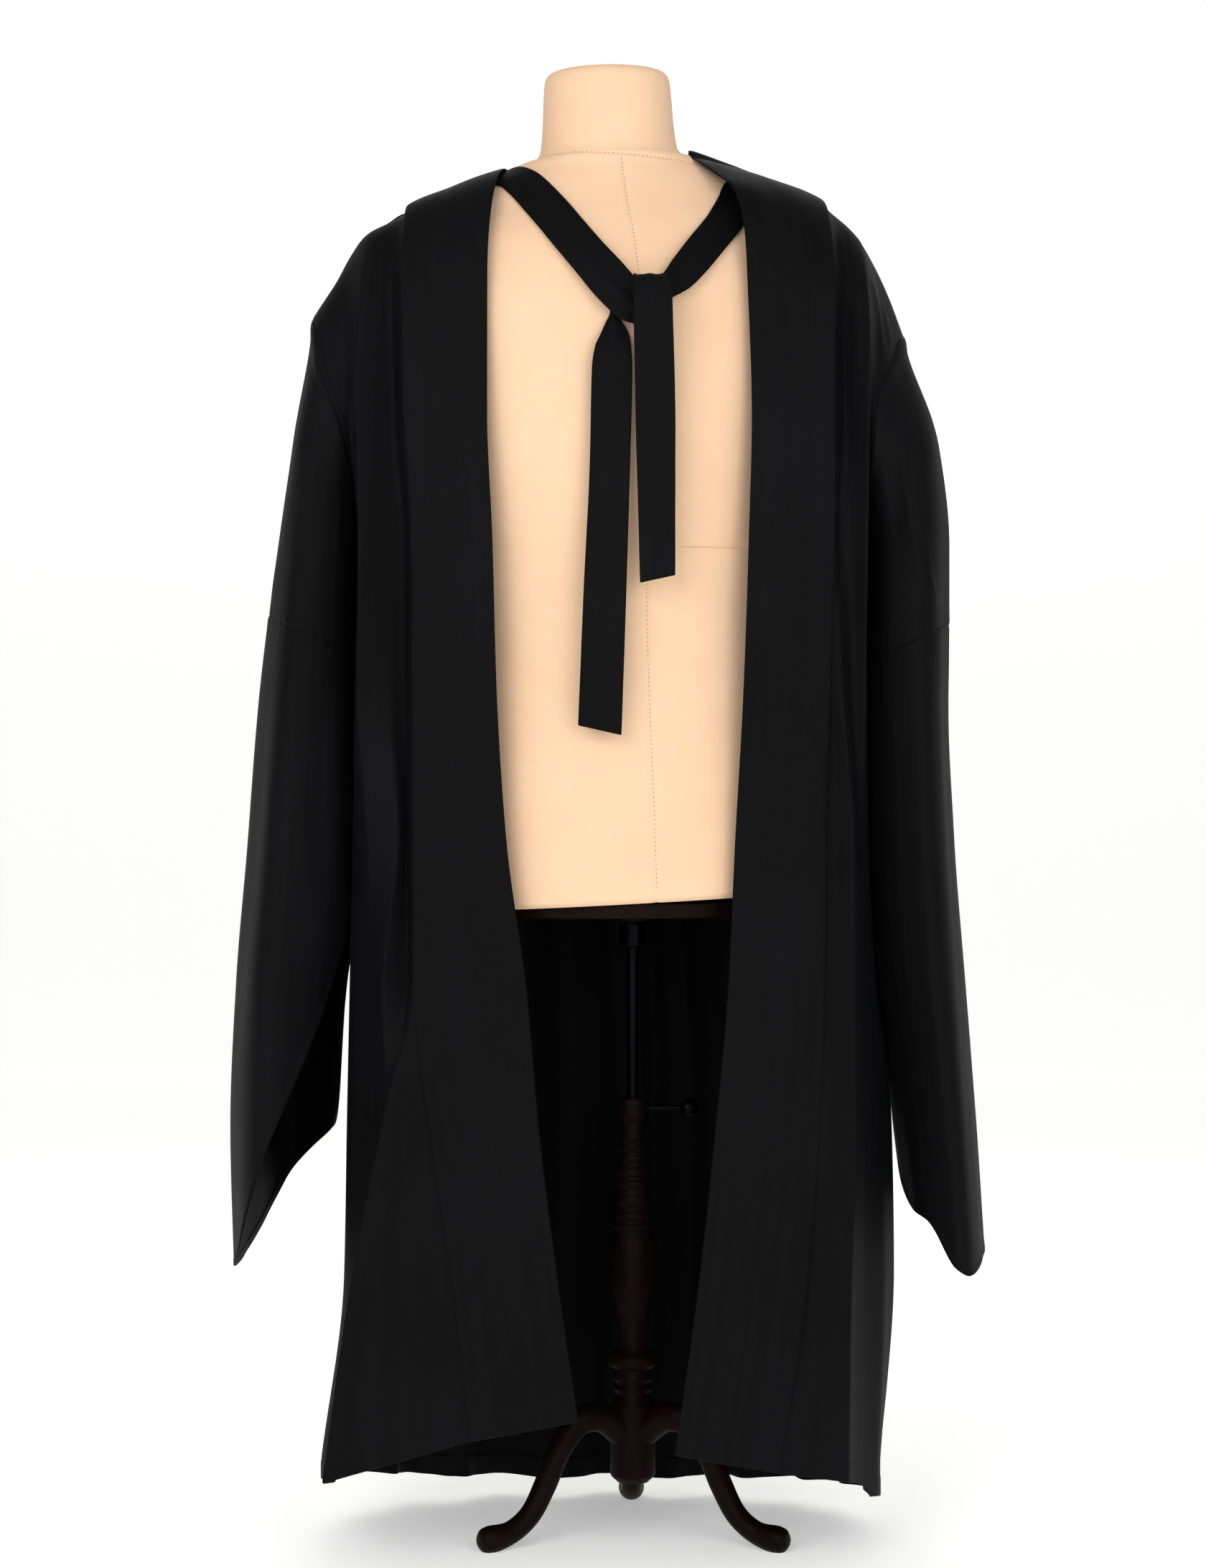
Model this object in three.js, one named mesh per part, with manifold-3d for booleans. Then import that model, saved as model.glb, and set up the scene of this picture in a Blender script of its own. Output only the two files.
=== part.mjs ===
// Open judge's gown with a knotted neck tie, hanging on a limbless dress form on a turned wooden stand.
// Millimetres, +Z up, floor at z = 0. The gown faces -Y. Left and right are as seen from the front.

import * as THREE from 'three';
import Module from 'manifold-3d';
import { mergeVertices } from 'three/addons/utils/BufferGeometryUtils.js';

const wasm = await Module();
wasm.setup();

// Cloth
const clothWall = 1.6;
const ribbonWall = 1.2;
const seamGap = 0.3;
const seamLow = 540; // below this height a band and its panel lie edge to edge,
const seamHigh = 620; // and above this one the band's edge stands proud of the panel
const armholeGap = 1.3; // wider, because the walls meet at an angle there
const centring = -8; // brings the middle of the whole to x = y = 0
const shoulderDrop = 120; // height in which the cloth turns over the shoulder into a plumb fall
const roundShare = 0.2; // share of a panel's rows that lie in that turn
const armholeShare = 0.32; // share of the side rows that lie on the armhole

// Dress form and stand
const turn = THREE.MathUtils.degToRad(9); // the form is turned under the gown
const ridgeSlope = Math.tan(turn);
const formBottom = 617;
const formTop = 1431;
const formAxis = { low: 19, top: 1.5 }; // x of the leaning axis at the form's two ends
const shoulderTilt = 0.06;
const boardThick = 14;
const postX = 25;
const postTop = 424;
const rodRadius = 6;
const boreGap = 0.08;
const roundSides = 20; // the rod and its bore have the same facets
const screwSides = 16;
const boreFloor = 232;
const rodFloor = 240;
const flatReach = 5; // the rod's flat, which keeps the form from swivelling, lies this far from the axis
const flatShort = 40; // and ends this far below the rod's top
const hubRadius = 22;
const screwZ = 414;
const screwRadius = 3;
const legReach = 158;

const cloth = () => new THREE.MeshStandardMaterial({ color: 0x18181b, roughness: 0.72, metalness: 0 });
const jersey = () => new THREE.MeshStandardMaterial({ color: 0xf0cda4, roughness: 0.9, metalness: 0 });
const mahogany = () => new THREE.MeshStandardMaterial({ color: 0x4a1d14, roughness: 0.35, metalness: 0 });
const darkSteel = () => new THREE.MeshStandardMaterial({ color: 0x3b3c3f, roughness: 0.4, metalness: 0.9 });

// Shoulder line of the gown, from the neck out to the top of the armhole
const shoulder = {
  left: [
    { x: -281, z: 1177 },
    { x: -261, z: 1209 },
    { x: -247, z: 1237 },
    { x: -233, z: 1257 },
    { x: -212, z: 1270 },
    { x: -171, z: 1292 },
    { x: -108, z: 1321 },
    { x: -92, z: 1328 },
  ],
  right: [
    { x: 74, z: 1349 },
    { x: 127, z: 1335 },
    { x: 194, z: 1307 },
    { x: 225, z: 1286 },
    { x: 247, z: 1266 },
    { x: 264, z: 1238 },
    { x: 278, z: 1208 },
    { x: 291, z: 1172 },
  ],
};

// Front bands: x and y of the free inner edge and of the sewn outer edge
const band = {
  left: [
    { z: 1240, inner: [-113, -120], outer: [-195, -112] },
    { z: 1080, inner: [-113, -130], outer: [-191, -117] },
    { z: 960, inner: [-108, -132], outer: [-184, -120] },
    { z: 820, inner: [-104, -135], outer: [-183, -123] },
    { z: 680, inner: [-95, -139], outer: [-182, -128] },
    { z: 540, inner: [-76, -144], outer: [-181, -135] },
    { z: 400, inner: [-63, -151], outer: [-165, -145] },
    { z: 260, inner: [-45, -161], outer: [-144, -155] },
    { z: 120, inner: [-24, -171], outer: [-127, -166] },
  ],
  right: [
    { z: 1240, inner: [132, -94], outer: [217, -82] },
    { z: 1080, inner: [137, -103], outer: [216, -92] },
    { z: 960, inner: [134, -106], outer: [215, -96] },
    { z: 820, inner: [129, -109], outer: [211, -99] },
    { z: 680, inner: [121, -114], outer: [207, -105] },
    { z: 540, inner: [114, -121], outer: [205, -114] },
    { z: 400, inner: [101, -131], outer: [199, -125] },
    { z: 260, inner: [85, -145], outer: [187, -139] },
    { z: 100, inner: [62, -160], outer: [161, -154] },
  ],
};
const bandTop = {
  left: { inner: -97, outer: -192 },
  right: { inner: 84, outer: 209 },
};
const bandHem = {
  left: { inner: 141, outer: 122 },
  right: { inner: 108, outer: 90 },
};
const collarBack = { innerY: 82, innerZ: 1340, outerY: 131, outerZ: 1268, x: 5 };

// Front panels: near is the dip beside the band, which swings out into the flare at the hem,
// mid the slope that rises as a fold at knee height, far the ridge under the shoulder,
// corner the line where the panel turns to the side
const front = {
  left: [
    { z: 1240, near: [-203, -100], mid: [-213, -103], far: [-229, -108], corner: [-246, -96] },
    { z: 1080, near: [-201, -97], mid: [-213, -105], far: [-235, -121], corner: [-244, -114] },
    { z: 960, near: [-191, -99], mid: [-208, -107], far: [-233, -122], corner: [-237, -84] },
    { z: 820, near: [-190, -102], mid: [-206, -113], far: [-234, -124], corner: [-240, -80] },
    { z: 680, near: [-189, -110], mid: [-196, -127], far: [-226, -116], corner: [-242, -80] },
    { z: 540, near: [-188, -122], mid: [-209, -139], far: [-221, -111], corner: [-246, -79] },
    { z: 400, near: [-211, -163], mid: [-205, -136], far: [-216, -117], corner: [-248, -82] },
    { z: 260, near: [-239, -173], mid: [-229, -143], far: [-234, -119], corner: [-250, -86] },
    { z: 90, near: [-262, -174], mid: [-254, -144], far: [-260, -120], corner: [-271, -90] },
  ],
  right: [
    { z: 1240, near: [225, -62], mid: [238, -68], far: [249, -72], corner: [259, -58] },
    { z: 1080, near: [226, -70], mid: [239, -84], far: [248, -93], corner: [250, -86] },
    { z: 960, near: [219, -84], mid: [231, -82], far: [247, -95], corner: [248, -52] },
    { z: 820, near: [222, -104], mid: [231, -84], far: [245, -90], corner: [249, -42] },
    { z: 680, near: [231, -117], mid: [236, -90], far: [246, -76], corner: [250, -38] },
    { z: 540, near: [231, -128], mid: [239, -98], far: [251, -73], corner: [257, -38] },
    { z: 400, near: [232, -139], mid: [242, -106], far: [259, -75], corner: [268, -40] },
    { z: 260, near: [227, -150], mid: [240, -115], far: [262, -80], corner: [275, -42] },
    { z: 80, near: [222, -163], mid: [238, -122], far: [262, -86], corner: [270, -46] },
  ],
};
const frontTop = {
  left: { near: -203, mid: -213, far: -228, corner: -252 },
  right: { near: 219, mid: 232, far: 246, corner: 267 },
};
const frontHem = {
  left: { near: 85, mid: 80, far: 76, corner: 72, side: 58 },
  right: { near: 84, mid: 74, far: 58, corner: 46, side: 34 },
};

// Side seams and armholes
const side = {
  left: [
    { z: 990, x: -236, y: -5 },
    { z: 820, x: -237, y: -4 },
    { z: 680, x: -240, y: -2 },
    { z: 540, x: -244, y: 0 },
    { z: 400, x: -247, y: 2 },
    { z: 260, x: -252, y: 4 },
    { z: 40, x: -272, y: 6 },
  ],
  right: [
    { z: 990, x: 248, y: 15 },
    { z: 820, x: 249, y: 15 },
    { z: 680, x: 250, y: 14 },
    { z: 540, x: 257, y: 12 },
    { z: 400, x: 267, y: 10 },
    { z: 260, x: 273, y: 8 },
    { z: 20, x: 268, y: 6 },
  ],
};
const armhole = {
  left: { top: 1177, bottom: 990, ahead: 89, behind: 86 },
  right: { top: 1172, bottom: 990, ahead: 112, behind: 64 },
};
const armholeX = {
  left: [
    { z: 1177, x: -281 },
    { z: 1150, x: -275 },
    { z: 1115, x: -268 },
    { z: 1085, x: -256 },
    { z: 1040, x: -244 },
    { z: 990, x: -236 },
  ],
  right: [
    { z: 1172, x: 291 },
    { z: 1135, x: 271 },
    { z: 1095, x: 256 },
    { z: 1040, x: 250 },
    { z: 990, x: 248 },
  ],
};

// Back panel: depth of the middle of the back, and its gathers
const backDepth = [
  { z: 1240, y: 128 },
  { z: 1120, y: 138 },
  { z: 960, y: 144 },
  { z: 680, y: 154 },
  { z: 400, y: 163 },
  { z: 30, y: 180 },
];
const backFolds = { count: 9, topDepth: 2.5, hemDepth: 13, drift: 0.035, driftTurns: 7, nearSide: 0.16 };
const shoulderPart = 0.14; // share of the back's width that each shoulder takes at the top
const backHem = { middle: 18, left: 58, right: 34 };

// Sleeves: outer and inner edge as seen from the front, front and back as seen from the side
const sleeve = {
  left: [
    { z: 1177, outer: -288, inner: -246, front: -112, back: 60 },
    { z: 1080, outer: -299, inner: -249, front: -114, back: 66 },
    { z: 960, outer: -316, inner: -249, front: -116, back: 78 },
    { z: 820, outer: -334, inner: -250, front: -118, back: 96 },
    { z: 680, outer: -346, inner: -252, front: -122, back: 110 },
    { z: 540, outer: -358, inner: -258, front: -127, back: 119 },
    { z: 400, outer: -363, inner: -266, front: -132, back: 124 },
    { z: 250, outer: -359, inner: -280, front: -136, back: 128 },
  ],
  right: [
    { z: 1172, outer: 297, inner: 256, front: -84, back: 92 },
    { z: 1080, outer: 318, inner: 258, front: -86, back: 98 },
    { z: 960, outer: 332, inner: 258, front: -90, back: 110 },
    { z: 820, outer: 332, inner: 259, front: -96, back: 124 },
    { z: 680, outer: 338, inner: 261, front: -101, back: 132 },
    { z: 540, outer: 348, inner: 267, front: -106, back: 136 },
    { z: 400, outer: 358, inner: 281, front: -110, back: 138 },
    { z: 250, outer: 368, inner: 293, front: -113, back: 139 },
  ],
};
// Height of the sleeve's end round its mouth, from the outer side over the front to the back
const sleeveEnd = {
  left: [262, 312, 405, 585, 530, 415, 345, 285],
  right: [274, 278, 288, 315, 345, 500, 420, 310],
};
const elbow = {
  left: { middle: 872, slant: 20 },
  right: { middle: 867, slant: 18 },
};
const sleeveFolds = { count: 5, depth: 4 };

// Rings of the dress form: half width, half depth and squareness
const formRings = [
  { z: formBottom, wide: 174, deep: 119, square: 2.3 },
  { z: 622, wide: 178, deep: 123, square: 2.3 },
  { z: 720, wide: 175, deep: 119, square: 2.3 },
  { z: 800, wide: 168, deep: 112, square: 2.3 },
  { z: 880, wide: 164, deep: 108, square: 2.3 },
  { z: 950, wide: 168, deep: 112, square: 2.3 },
  { z: 1030, wide: 175, deep: 119, square: 2.3 },
  { z: 1100, wide: 184, deep: 122, square: 2.3 },
  { z: 1150, wide: 196, deep: 120, square: 2.25 },
  { z: 1190, wide: 210, deep: 115, square: 2.2 },
  { z: 1226, wide: 222, deep: 108, square: 2 },
  { z: 1254, wide: 226, deep: 99, square: 1.85 },
  { z: 1272, wide: 217, deep: 91, square: 1.7 },
  { z: 1286, wide: 201, deep: 84, square: 1.6 },
  { z: 1300.5, wide: 177, deep: 77, square: 1.6 },
  { z: 1314, wide: 147, deep: 71, square: 1.6 },
  { z: 1324.5, wide: 114, deep: 66.5, square: 1.7 },
  { z: 1335, wide: 87, deep: 64, square: 1.9 },
  { z: 1344.5, wide: 73, deep: 62, square: 2 },
  { z: 1356, wide: 66, deep: 60, square: 2 },
  { z: 1379, wide: 63, deep: 58, square: 2 },
  { z: 1404, wide: 61, deep: 57, square: 2 },
  { z: 1420, wide: 60, deep: 56, square: 2 },
  { z: 1427, wide: 57, deep: 53, square: 2 },
  { z: 1430, wide: 52, deep: 48, square: 2 },
  { z: formTop, wide: 44, deep: 40, square: 2 },
];

// Turned profile of the post, from its top down
const postProfile = [
  { z: postTop, r: 14.5 },
  { z: 421, r: 16 },
  { z: 405, r: 16 },
  { z: 401, r: 12.5 },
  { z: 386, r: 12.5 },
  { z: 383, r: 15 },
  { z: 379, r: 12.5 },
  { z: 375, r: 15.5 },
  { z: 371, r: 13 },
  { z: 366, r: 16 },
  { z: 361, r: 13.5 },
  { z: 352, r: 18 },
  { z: 347, r: 15 },
  { z: 342, r: 19 },
  { z: 336, r: 16 },
  { z: 325, r: 20 },
  { z: 318, r: 17 },
  { z: 310, r: 21 },
  { z: 305, r: 18.5 },
  { z: 300, r: 22 },
  { z: 296, r: 19.5 },
  { z: 286, r: 23 },
  { z: 265, r: 24.5 },
  { z: 245, r: 24 },
  { z: 228, r: 20 },
  { z: 206, r: 15.5 },
  { z: 184, r: 14.5 },
  { z: 177, r: 19 },
  { z: 172, r: 24 },
  { z: 165, r: 24 },
  { z: 160, r: 18 },
  { z: 151, r: 19.5 },
  { z: 146, r: 16.5 },
  { z: 141, r: 19.5 },
  { z: 137, r: 17 },
  { z: 130, r: 19 },
  { z: 124, r: hubRadius },
  { z: 58, r: hubRadius },
  { z: 50, r: 15 },
];
// Centre line of a leg: distance from the post's axis, height and half thickness
const legPath = [
  { out: 12, z: 100, r: 15 },
  { out: 36, z: 116, r: 14.5 },
  { out: 60, z: 114, r: 13.5 },
  { out: 82, z: 90, r: 12 },
  { out: 98, z: 56, r: 11 },
  { out: 115, z: 29, r: 10.5 },
  { out: 136, z: 15, r: 11 },
  { out: legReach, z: 11, r: 13 },
];

// Ribbons of the neck tie: x and z of the two edges, and how far they stand off the chest
const ribbon = {
  strapLeft: [
    { upper: [-86, 1315], lower: [-101, 1296], off: 4 },
    { upper: [-69, 1304], lower: [-87, 1280], off: 1.7 },
    { upper: [-50, 1290], lower: [-70, 1260], off: 4 },
    { upper: [-26, 1264], lower: [-50, 1238], off: 6 },
    { upper: [0, 1237], lower: [-26, 1211], off: 9 },
    { upper: [24, 1212], lower: [6, 1181], off: 14 },
    { upper: [34, 1204], lower: [22, 1180], off: 19 },
  ],
  strapRight: [
    { upper: [114, 1310], lower: [131, 1264], off: 2 },
    { upper: [108, 1294], lower: [126, 1252], off: 3 },
    { upper: [97, 1270], lower: [110, 1231], off: 5 },
    { upper: [80, 1248], lower: [92, 1211], off: 8 },
    { upper: [62, 1224], lower: [76, 1193], off: 11 },
    { upper: [50, 1211], lower: [60, 1184], off: 13 },
    { upper: [40, 1204], lower: [48, 1182], off: 13 },
  ],
};
const tailY = -140;
const tails = {
  left: [
    { z: 1180, from: 6, to: 24 },
    { z: 1150, from: -4, to: 22 },
    { z: 1120, from: -13, to: 23 },
    { z: 1030, from: -16, to: 21 },
    { z: 905, from: -22, to: 17 },
    { z: 780, from: -27, to: 13 },
  ],
  right: [
    { z: 1180, from: 27, to: 52 },
    { z: 1150, from: 26, to: 61 },
    { z: 1060, from: 27, to: 63 },
    { z: 990, from: 29, to: 63 },
    { z: 922, from: 31, to: 63 },
  ],
};
const knot = { x: 33, y: -140, z: 1189, wide: 27, tall: 21, deep: 11 };

// Mesh detail
const rows = 15;
const collarRows = 7;
const bandColumns = 3;
const spanColumns = 2;
const backColumns = 44;
const loopPoints = 18;
const formPoints = 28;

const point = (x, y, z) => new THREE.Vector3(x, y, z);
const blend = (a, b, share) => a + (b - a) * share;

// Smooth curve through one column of a table, without overshoot
function track(table, at, column, item = null) {
  const sorted = [...table].sort((a, b) => a[at] - b[at]);
  const xs = sorted.map((row) => row[at]);
  const ys = sorted.map((row) => (item === null ? row[column] : row[column][item]));
  const steps = xs.slice(1).map((x, i) => (ys[i + 1] - ys[i]) / (x - xs[i]));
  const slopes = xs.map((_, i) => {
    if (i === 0) return steps[0];
    if (i === xs.length - 1) return steps[i - 1];
    if (steps[i - 1] * steps[i] <= 0) return 0;
    return (2 * steps[i - 1] * steps[i]) / (steps[i - 1] + steps[i]);
  });
  return (x) => {
    if (x <= xs[0]) return ys[0];
    if (x >= xs[xs.length - 1]) return ys[ys.length - 1];
    let i = 0;
    while (x > xs[i + 1]) i += 1;
    const width = xs[i + 1] - xs[i];
    const t = (x - xs[i]) / width;
    const rise = t * t * (3 - 2 * t);
    const bend = slopes[i] * t * (1 - t) * (1 - t) - slopes[i + 1] * t * t * (1 - t);
    return blend(ys[i], ys[i + 1], rise) + width * bend;
  };
}

// Height of a row of a panel: the first rows go round the shoulder, the others hang
function rowHeight(top, hem, row) {
  if (row < roundShare) return top - shoulderDrop * (1 - Math.cos((row / roundShare) * Math.PI / 2));
  return blend(top - shoulderDrop, hem, (row - roundShare) / (1 - roundShare));
}
const rowOut = (row) => (row < roundShare ? Math.sin((row / roundShare) * Math.PI / 2) : 1);

function ridge(name, x) {
  return point(x, x * ridgeSlope, track(shoulder[name], 'x', 'z')(x));
}

// A line of cloth that starts on the shoulder, turns over it and falls to the hem
function fallLine(top, x, y, hem, row) {
  const z = rowHeight(top.z, hem, row);
  const out = rowOut(row);
  return point(blend(top.x, x(z), out), blend(top.y, y(z), out), z);
}

// One point of a band: row 0 is the shoulder, 1 the hem, -1 the middle of the back
function bandPoint(name, row, across) {
  const edges = ['inner', 'outer'].map((edge) => {
    const top = ridge(name, bandTop[name][edge]);
    if (edge === 'outer') top.z += clothWall + seamGap;
    if (row >= 0) {
      const x = track(band[name], 'z', edge, 0);
      const y = track(band[name], 'z', edge, 1);
      return fallLine(top, x, y, bandHem[name][edge], row);
    }
    const angle = (-row * Math.PI) / 2;
    const middle = point(collarBack.x, collarBack[`${edge}Y`], collarBack[`${edge}Z`]);
    return point(
      blend(middle.x, top.x, Math.cos(angle)),
      blend(top.y, middle.y, Math.sin(angle)),
      blend(top.z, middle.z, Math.sin(angle) ** 2),
    );
  });
  const spot = edges[0].lerp(edges[1], across);
  const bulge = 4 * across * (1 - across);
  const turned = row >= 0 ? rowOut(row) : 0;
  spot.y -= 2 * bulge * turned;
  spot.z += 5 * bulge * (1 - turned);
  return spot;
}

function bandNormal(name, row, across) {
  const step = 0.01;
  const along = bandPoint(name, row + step, across).sub(bandPoint(name, row - step, across));
  const over = bandPoint(name, row, across + step).sub(bandPoint(name, row, across - step));
  const normal = along.cross(over).normalize();
  return name === 'left' ? normal.negate() : normal;
}

// Where a panel starts: just past the outer edge of the band, and behind it where the edge stands proud
function besideBand(name, row) {
  const edge = bandPoint(name, row, 1);
  const proud = row < 0 ? 1 : THREE.MathUtils.smoothstep(edge.z, seamLow, seamHigh);
  const apart = blend(4.5, 2.5, proud) * seamGap;
  const outward = edge.clone().sub(bandPoint(name, row, 1 - 1 / bandColumns)).setLength(apart);
  const inward = bandNormal(name, row, 1).multiplyScalar(-(clothWall + seamGap) * proud);
  return edge.add(outward).add(inward);
}

function bandGrid(name) {
  const grid = [];
  for (let j = collarRows; j > 0; j -= 1) {
    const row = -j / collarRows;
    grid.push(Array.from({ length: bandColumns + 1 }, (_, i) => bandPoint(name, row, i / bandColumns)));
  }
  for (let j = 0; j <= rows; j += 1) {
    grid.push(Array.from({ length: bandColumns + 1 }, (_, i) => bandPoint(name, j / rows, i / bandColumns)));
  }
  return pulledBack(grid, { firstRow: seamGap / 2 });
}

// Armhole: share 0 is its top, a quarter its front, a half its bottom, three quarters its back
function armholePoint(name, share) {
  const { top, bottom, ahead, behind } = armhole[name];
  const angle = share * 2 * Math.PI;
  const z = blend(bottom, top, (1 + Math.cos(angle)) / 2);
  const x = track(armholeX[name], 'z', 'x')(z);
  const middle = blend(side[name][0].y, ridge(name, x).y, (1 + Math.cos(angle)) / 2);
  const depth = Math.sin(angle) > 0 ? ahead : behind;
  return point(x, middle - depth * Math.sin(angle), z);
}

// Outer edge of a front or back panel: half the armhole, then the side seam
function sideLine(name, row, isBack) {
  if (row < armholeShare) {
    const share = (row / armholeShare) / 2;
    return armholePoint(name, isBack ? 1 - share : share);
  }
  const z = blend(armhole[name].bottom, frontHem[name].side, (row - armholeShare) / (1 - armholeShare));
  return point(track(side[name], 'z', 'x')(z), track(side[name], 'z', 'y')(z), z);
}

function frontGrid(name) {
  const lines = ['near', 'mid', 'far', 'corner'];
  const paths = lines.map((line) => [track(front[name], 'z', line, 0), track(front[name], 'z', line, 1)]);
  const spans = (lines.length + 1) * spanColumns;
  const grid = [];
  for (let j = 0; j <= rows; j += 1) {
    const row = j / rows;
    const points = lines.map((line, i) => {
      const top = ridge(name, frontTop[name][line]);
      return fallLine(top, paths[i][0], paths[i][1], frontHem[name][line], row);
    });
    const curve = new THREE.CatmullRomCurve3(
      [besideBand(name, row), ...points, sideLine(name, row, false)],
      false,
      'centripetal',
    );
    grid.push(Array.from({ length: spans + 1 }, (_, i) => curve.getPoint(i / spans)));
  }
  return pulledBack(grid, { firstRow: seamGap * 1.5, lastColumn: armholeGap });
}

// Upper edge of the back panel: the two shoulders, and between them the edge under the collar
function backTop(share) {
  const name = share < 0.5 ? 'left' : 'right';
  const away = share < 0.5 ? share : 1 - share;
  if (away < shoulderPart) {
    const start = shoulder[name][name === 'left' ? 0 : shoulder[name].length - 1].x;
    const end = besideBand(name, 0).x;
    const t = away / shoulderPart;
    const spot = ridge(name, blend(start, end, t));
    spot.z = blend(spot.z, besideBand(name, 0).z, t * t);
    return spot;
  }
  return besideBand(name, -(away - shoulderPart) / (0.5 - shoulderPart));
}

function backPoint(share, row) {
  const { count, topDepth, hemDepth, drift, driftTurns, nearSide } = backFolds;
  const edges = [sideLine('left', row, true), sideLine('right', row, true)];
  const tops = [sideLine('left', 0, true), sideLine('right', 0, true)];
  const angle = share * Math.PI;
  const over = (1 - Math.cos(angle)) / 2;
  const round = Math.sin(angle) ** 0.72;
  const hem = blend(blend(backHem.left, backHem.right, share), backHem.middle, Math.sin(angle));
  const top = backTop(share);
  let z = rowHeight(top.z, hem, row);
  const nearLeft = Math.max(0, 1 - share / nearSide) ** 2;
  const nearRight = Math.max(0, 1 - (1 - share) / nearSide) ** 2;
  z += (edges[0].z - rowHeight(tops[0].z, backHem.left, row)) * nearLeft;
  z += (edges[1].z - rowHeight(tops[1].z, backHem.right, row)) * nearRight;
  const depth = track(backDepth, 'z', 'y')(z);
  const section = (pair, deep) => {
    const base = blend(pair[0].y, pair[1].y, share);
    return [blend(pair[0].x, pair[1].x, over), blend(base, deep, round)];
  };
  const [x, y] = section(edges, depth);
  const [topX, topY] = section(tops, track(backDepth, 'z', 'y')(top.z));
  const left = 1 - rowOut(row);
  const spot = point(x + (top.x - topX) * left, y + (top.y - topY) * left, z);
  const fall = Math.max(0, (top.z - z) / (top.z - hem));
  const wave = -Math.cos((share + drift * Math.sin(driftTurns * share)) * count * 2 * Math.PI);
  const size = blend(topDepth, hemDepth, fall) * Math.min(1, fall * 6) * round;
  spot.x -= Math.cos(angle) * wave * size;
  spot.y += Math.sin(angle) * wave * size;
  return spot;
}

function backGrid() {
  const grid = [];
  for (let j = 0; j <= rows; j += 1) {
    grid.push(Array.from({ length: backColumns + 1 }, (_, i) => backPoint(i / backColumns, j / rows)));
  }
  return pulledBack(grid, { firstRow: seamGap * 1.5, firstColumn: armholeGap, lastColumn: armholeGap });
}

// Sleeve: share runs as on the armhole, and a loop lies level
function sleeveLoop(name, share, z) {
  const read = (column) => track(sleeve[name], 'z', column)(z);
  const angle = share * 2 * Math.PI;
  const wave = Math.cos(angle * sleeveFolds.count) * sleeveFolds.depth * Math.min(1, (1200 - z) / 500);
  const halfX = (read('outer') - read('inner')) / 2;
  const halfY = (read('back') - read('front')) / 2;
  return point(
    (read('outer') + read('inner')) / 2 + Math.cos(angle) * (halfX + Math.sign(halfX) * wave * 0.5),
    (read('front') + read('back')) / 2 - Math.sin(angle) * (halfY + wave),
    z,
  );
}

const elbowHeight = (name, share) => elbow[name].middle + elbow[name].slant * Math.cos(share * 2 * Math.PI);

function sleeveMouth(name, share) {
  const ends = sleeveEnd[name];
  const rowsRound = [...ends, ...ends, ...ends].map((z, i) => ({ share: i / ends.length - 1, z }));
  return track(rowsRound, 'share', 'z')(share);
}

function upperSleeveGrid(name, count) {
  const grid = [];
  const outward = name === 'left' ? -1 : 1;
  for (let j = 0; j <= count; j += 1) {
    const down = j / count;
    const blendIn = Math.sin((Math.min(1, down / 0.4) * Math.PI) / 2);
    grid.push(Array.from({ length: loopPoints }, (_, i) => {
      const share = i / loopPoints;
      const start = armholePoint(name, share);
      const under = Math.sqrt(Math.max(0, -Math.cos(share * 2 * Math.PI)));
      start.x += outward * (seamGap * 3 + (clothWall + seamGap) * under);
      const z = blend(start.z, elbowHeight(name, share), down);
      const loop = sleeveLoop(name, share, z);
      return point(blend(start.x, loop.x, blendIn), blend(start.y, loop.y, blendIn), z);
    }));
  }
  return pulledBack(grid, { firstRow: armholeGap, lastRow: seamGap });
}

function lowerSleeveGrid(name, count) {
  const grid = [];
  for (let j = 0; j <= count; j += 1) {
    grid.push(Array.from({ length: loopPoints }, (_, i) => {
      const share = i / loopPoints;
      const z = blend(elbowHeight(name, share), sleeveMouth(name, share), j / count);
      return sleeveLoop(name, share, z);
    }));
  }
  return pulledBack(grid, { firstRow: seamGap });
}

// Draws the outermost rows or columns of a grid back from a seam
function pulledBack(grid, by) {
  const shift = (spot, next, distance) => {
    if (distance) spot.add(next.clone().sub(spot).setLength(distance));
  };
  const last = grid.length - 1;
  grid[0].forEach((spot, i) => shift(spot, grid[1][i], by.firstRow));
  grid[last].forEach((spot, i) => shift(spot, grid[last - 1][i], by.lastRow));
  grid.forEach((row) => {
    shift(row[0], row[1], by.firstColumn);
    shift(row[row.length - 1], row[row.length - 2], by.lastColumn);
  });
  return grid;
}

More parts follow.
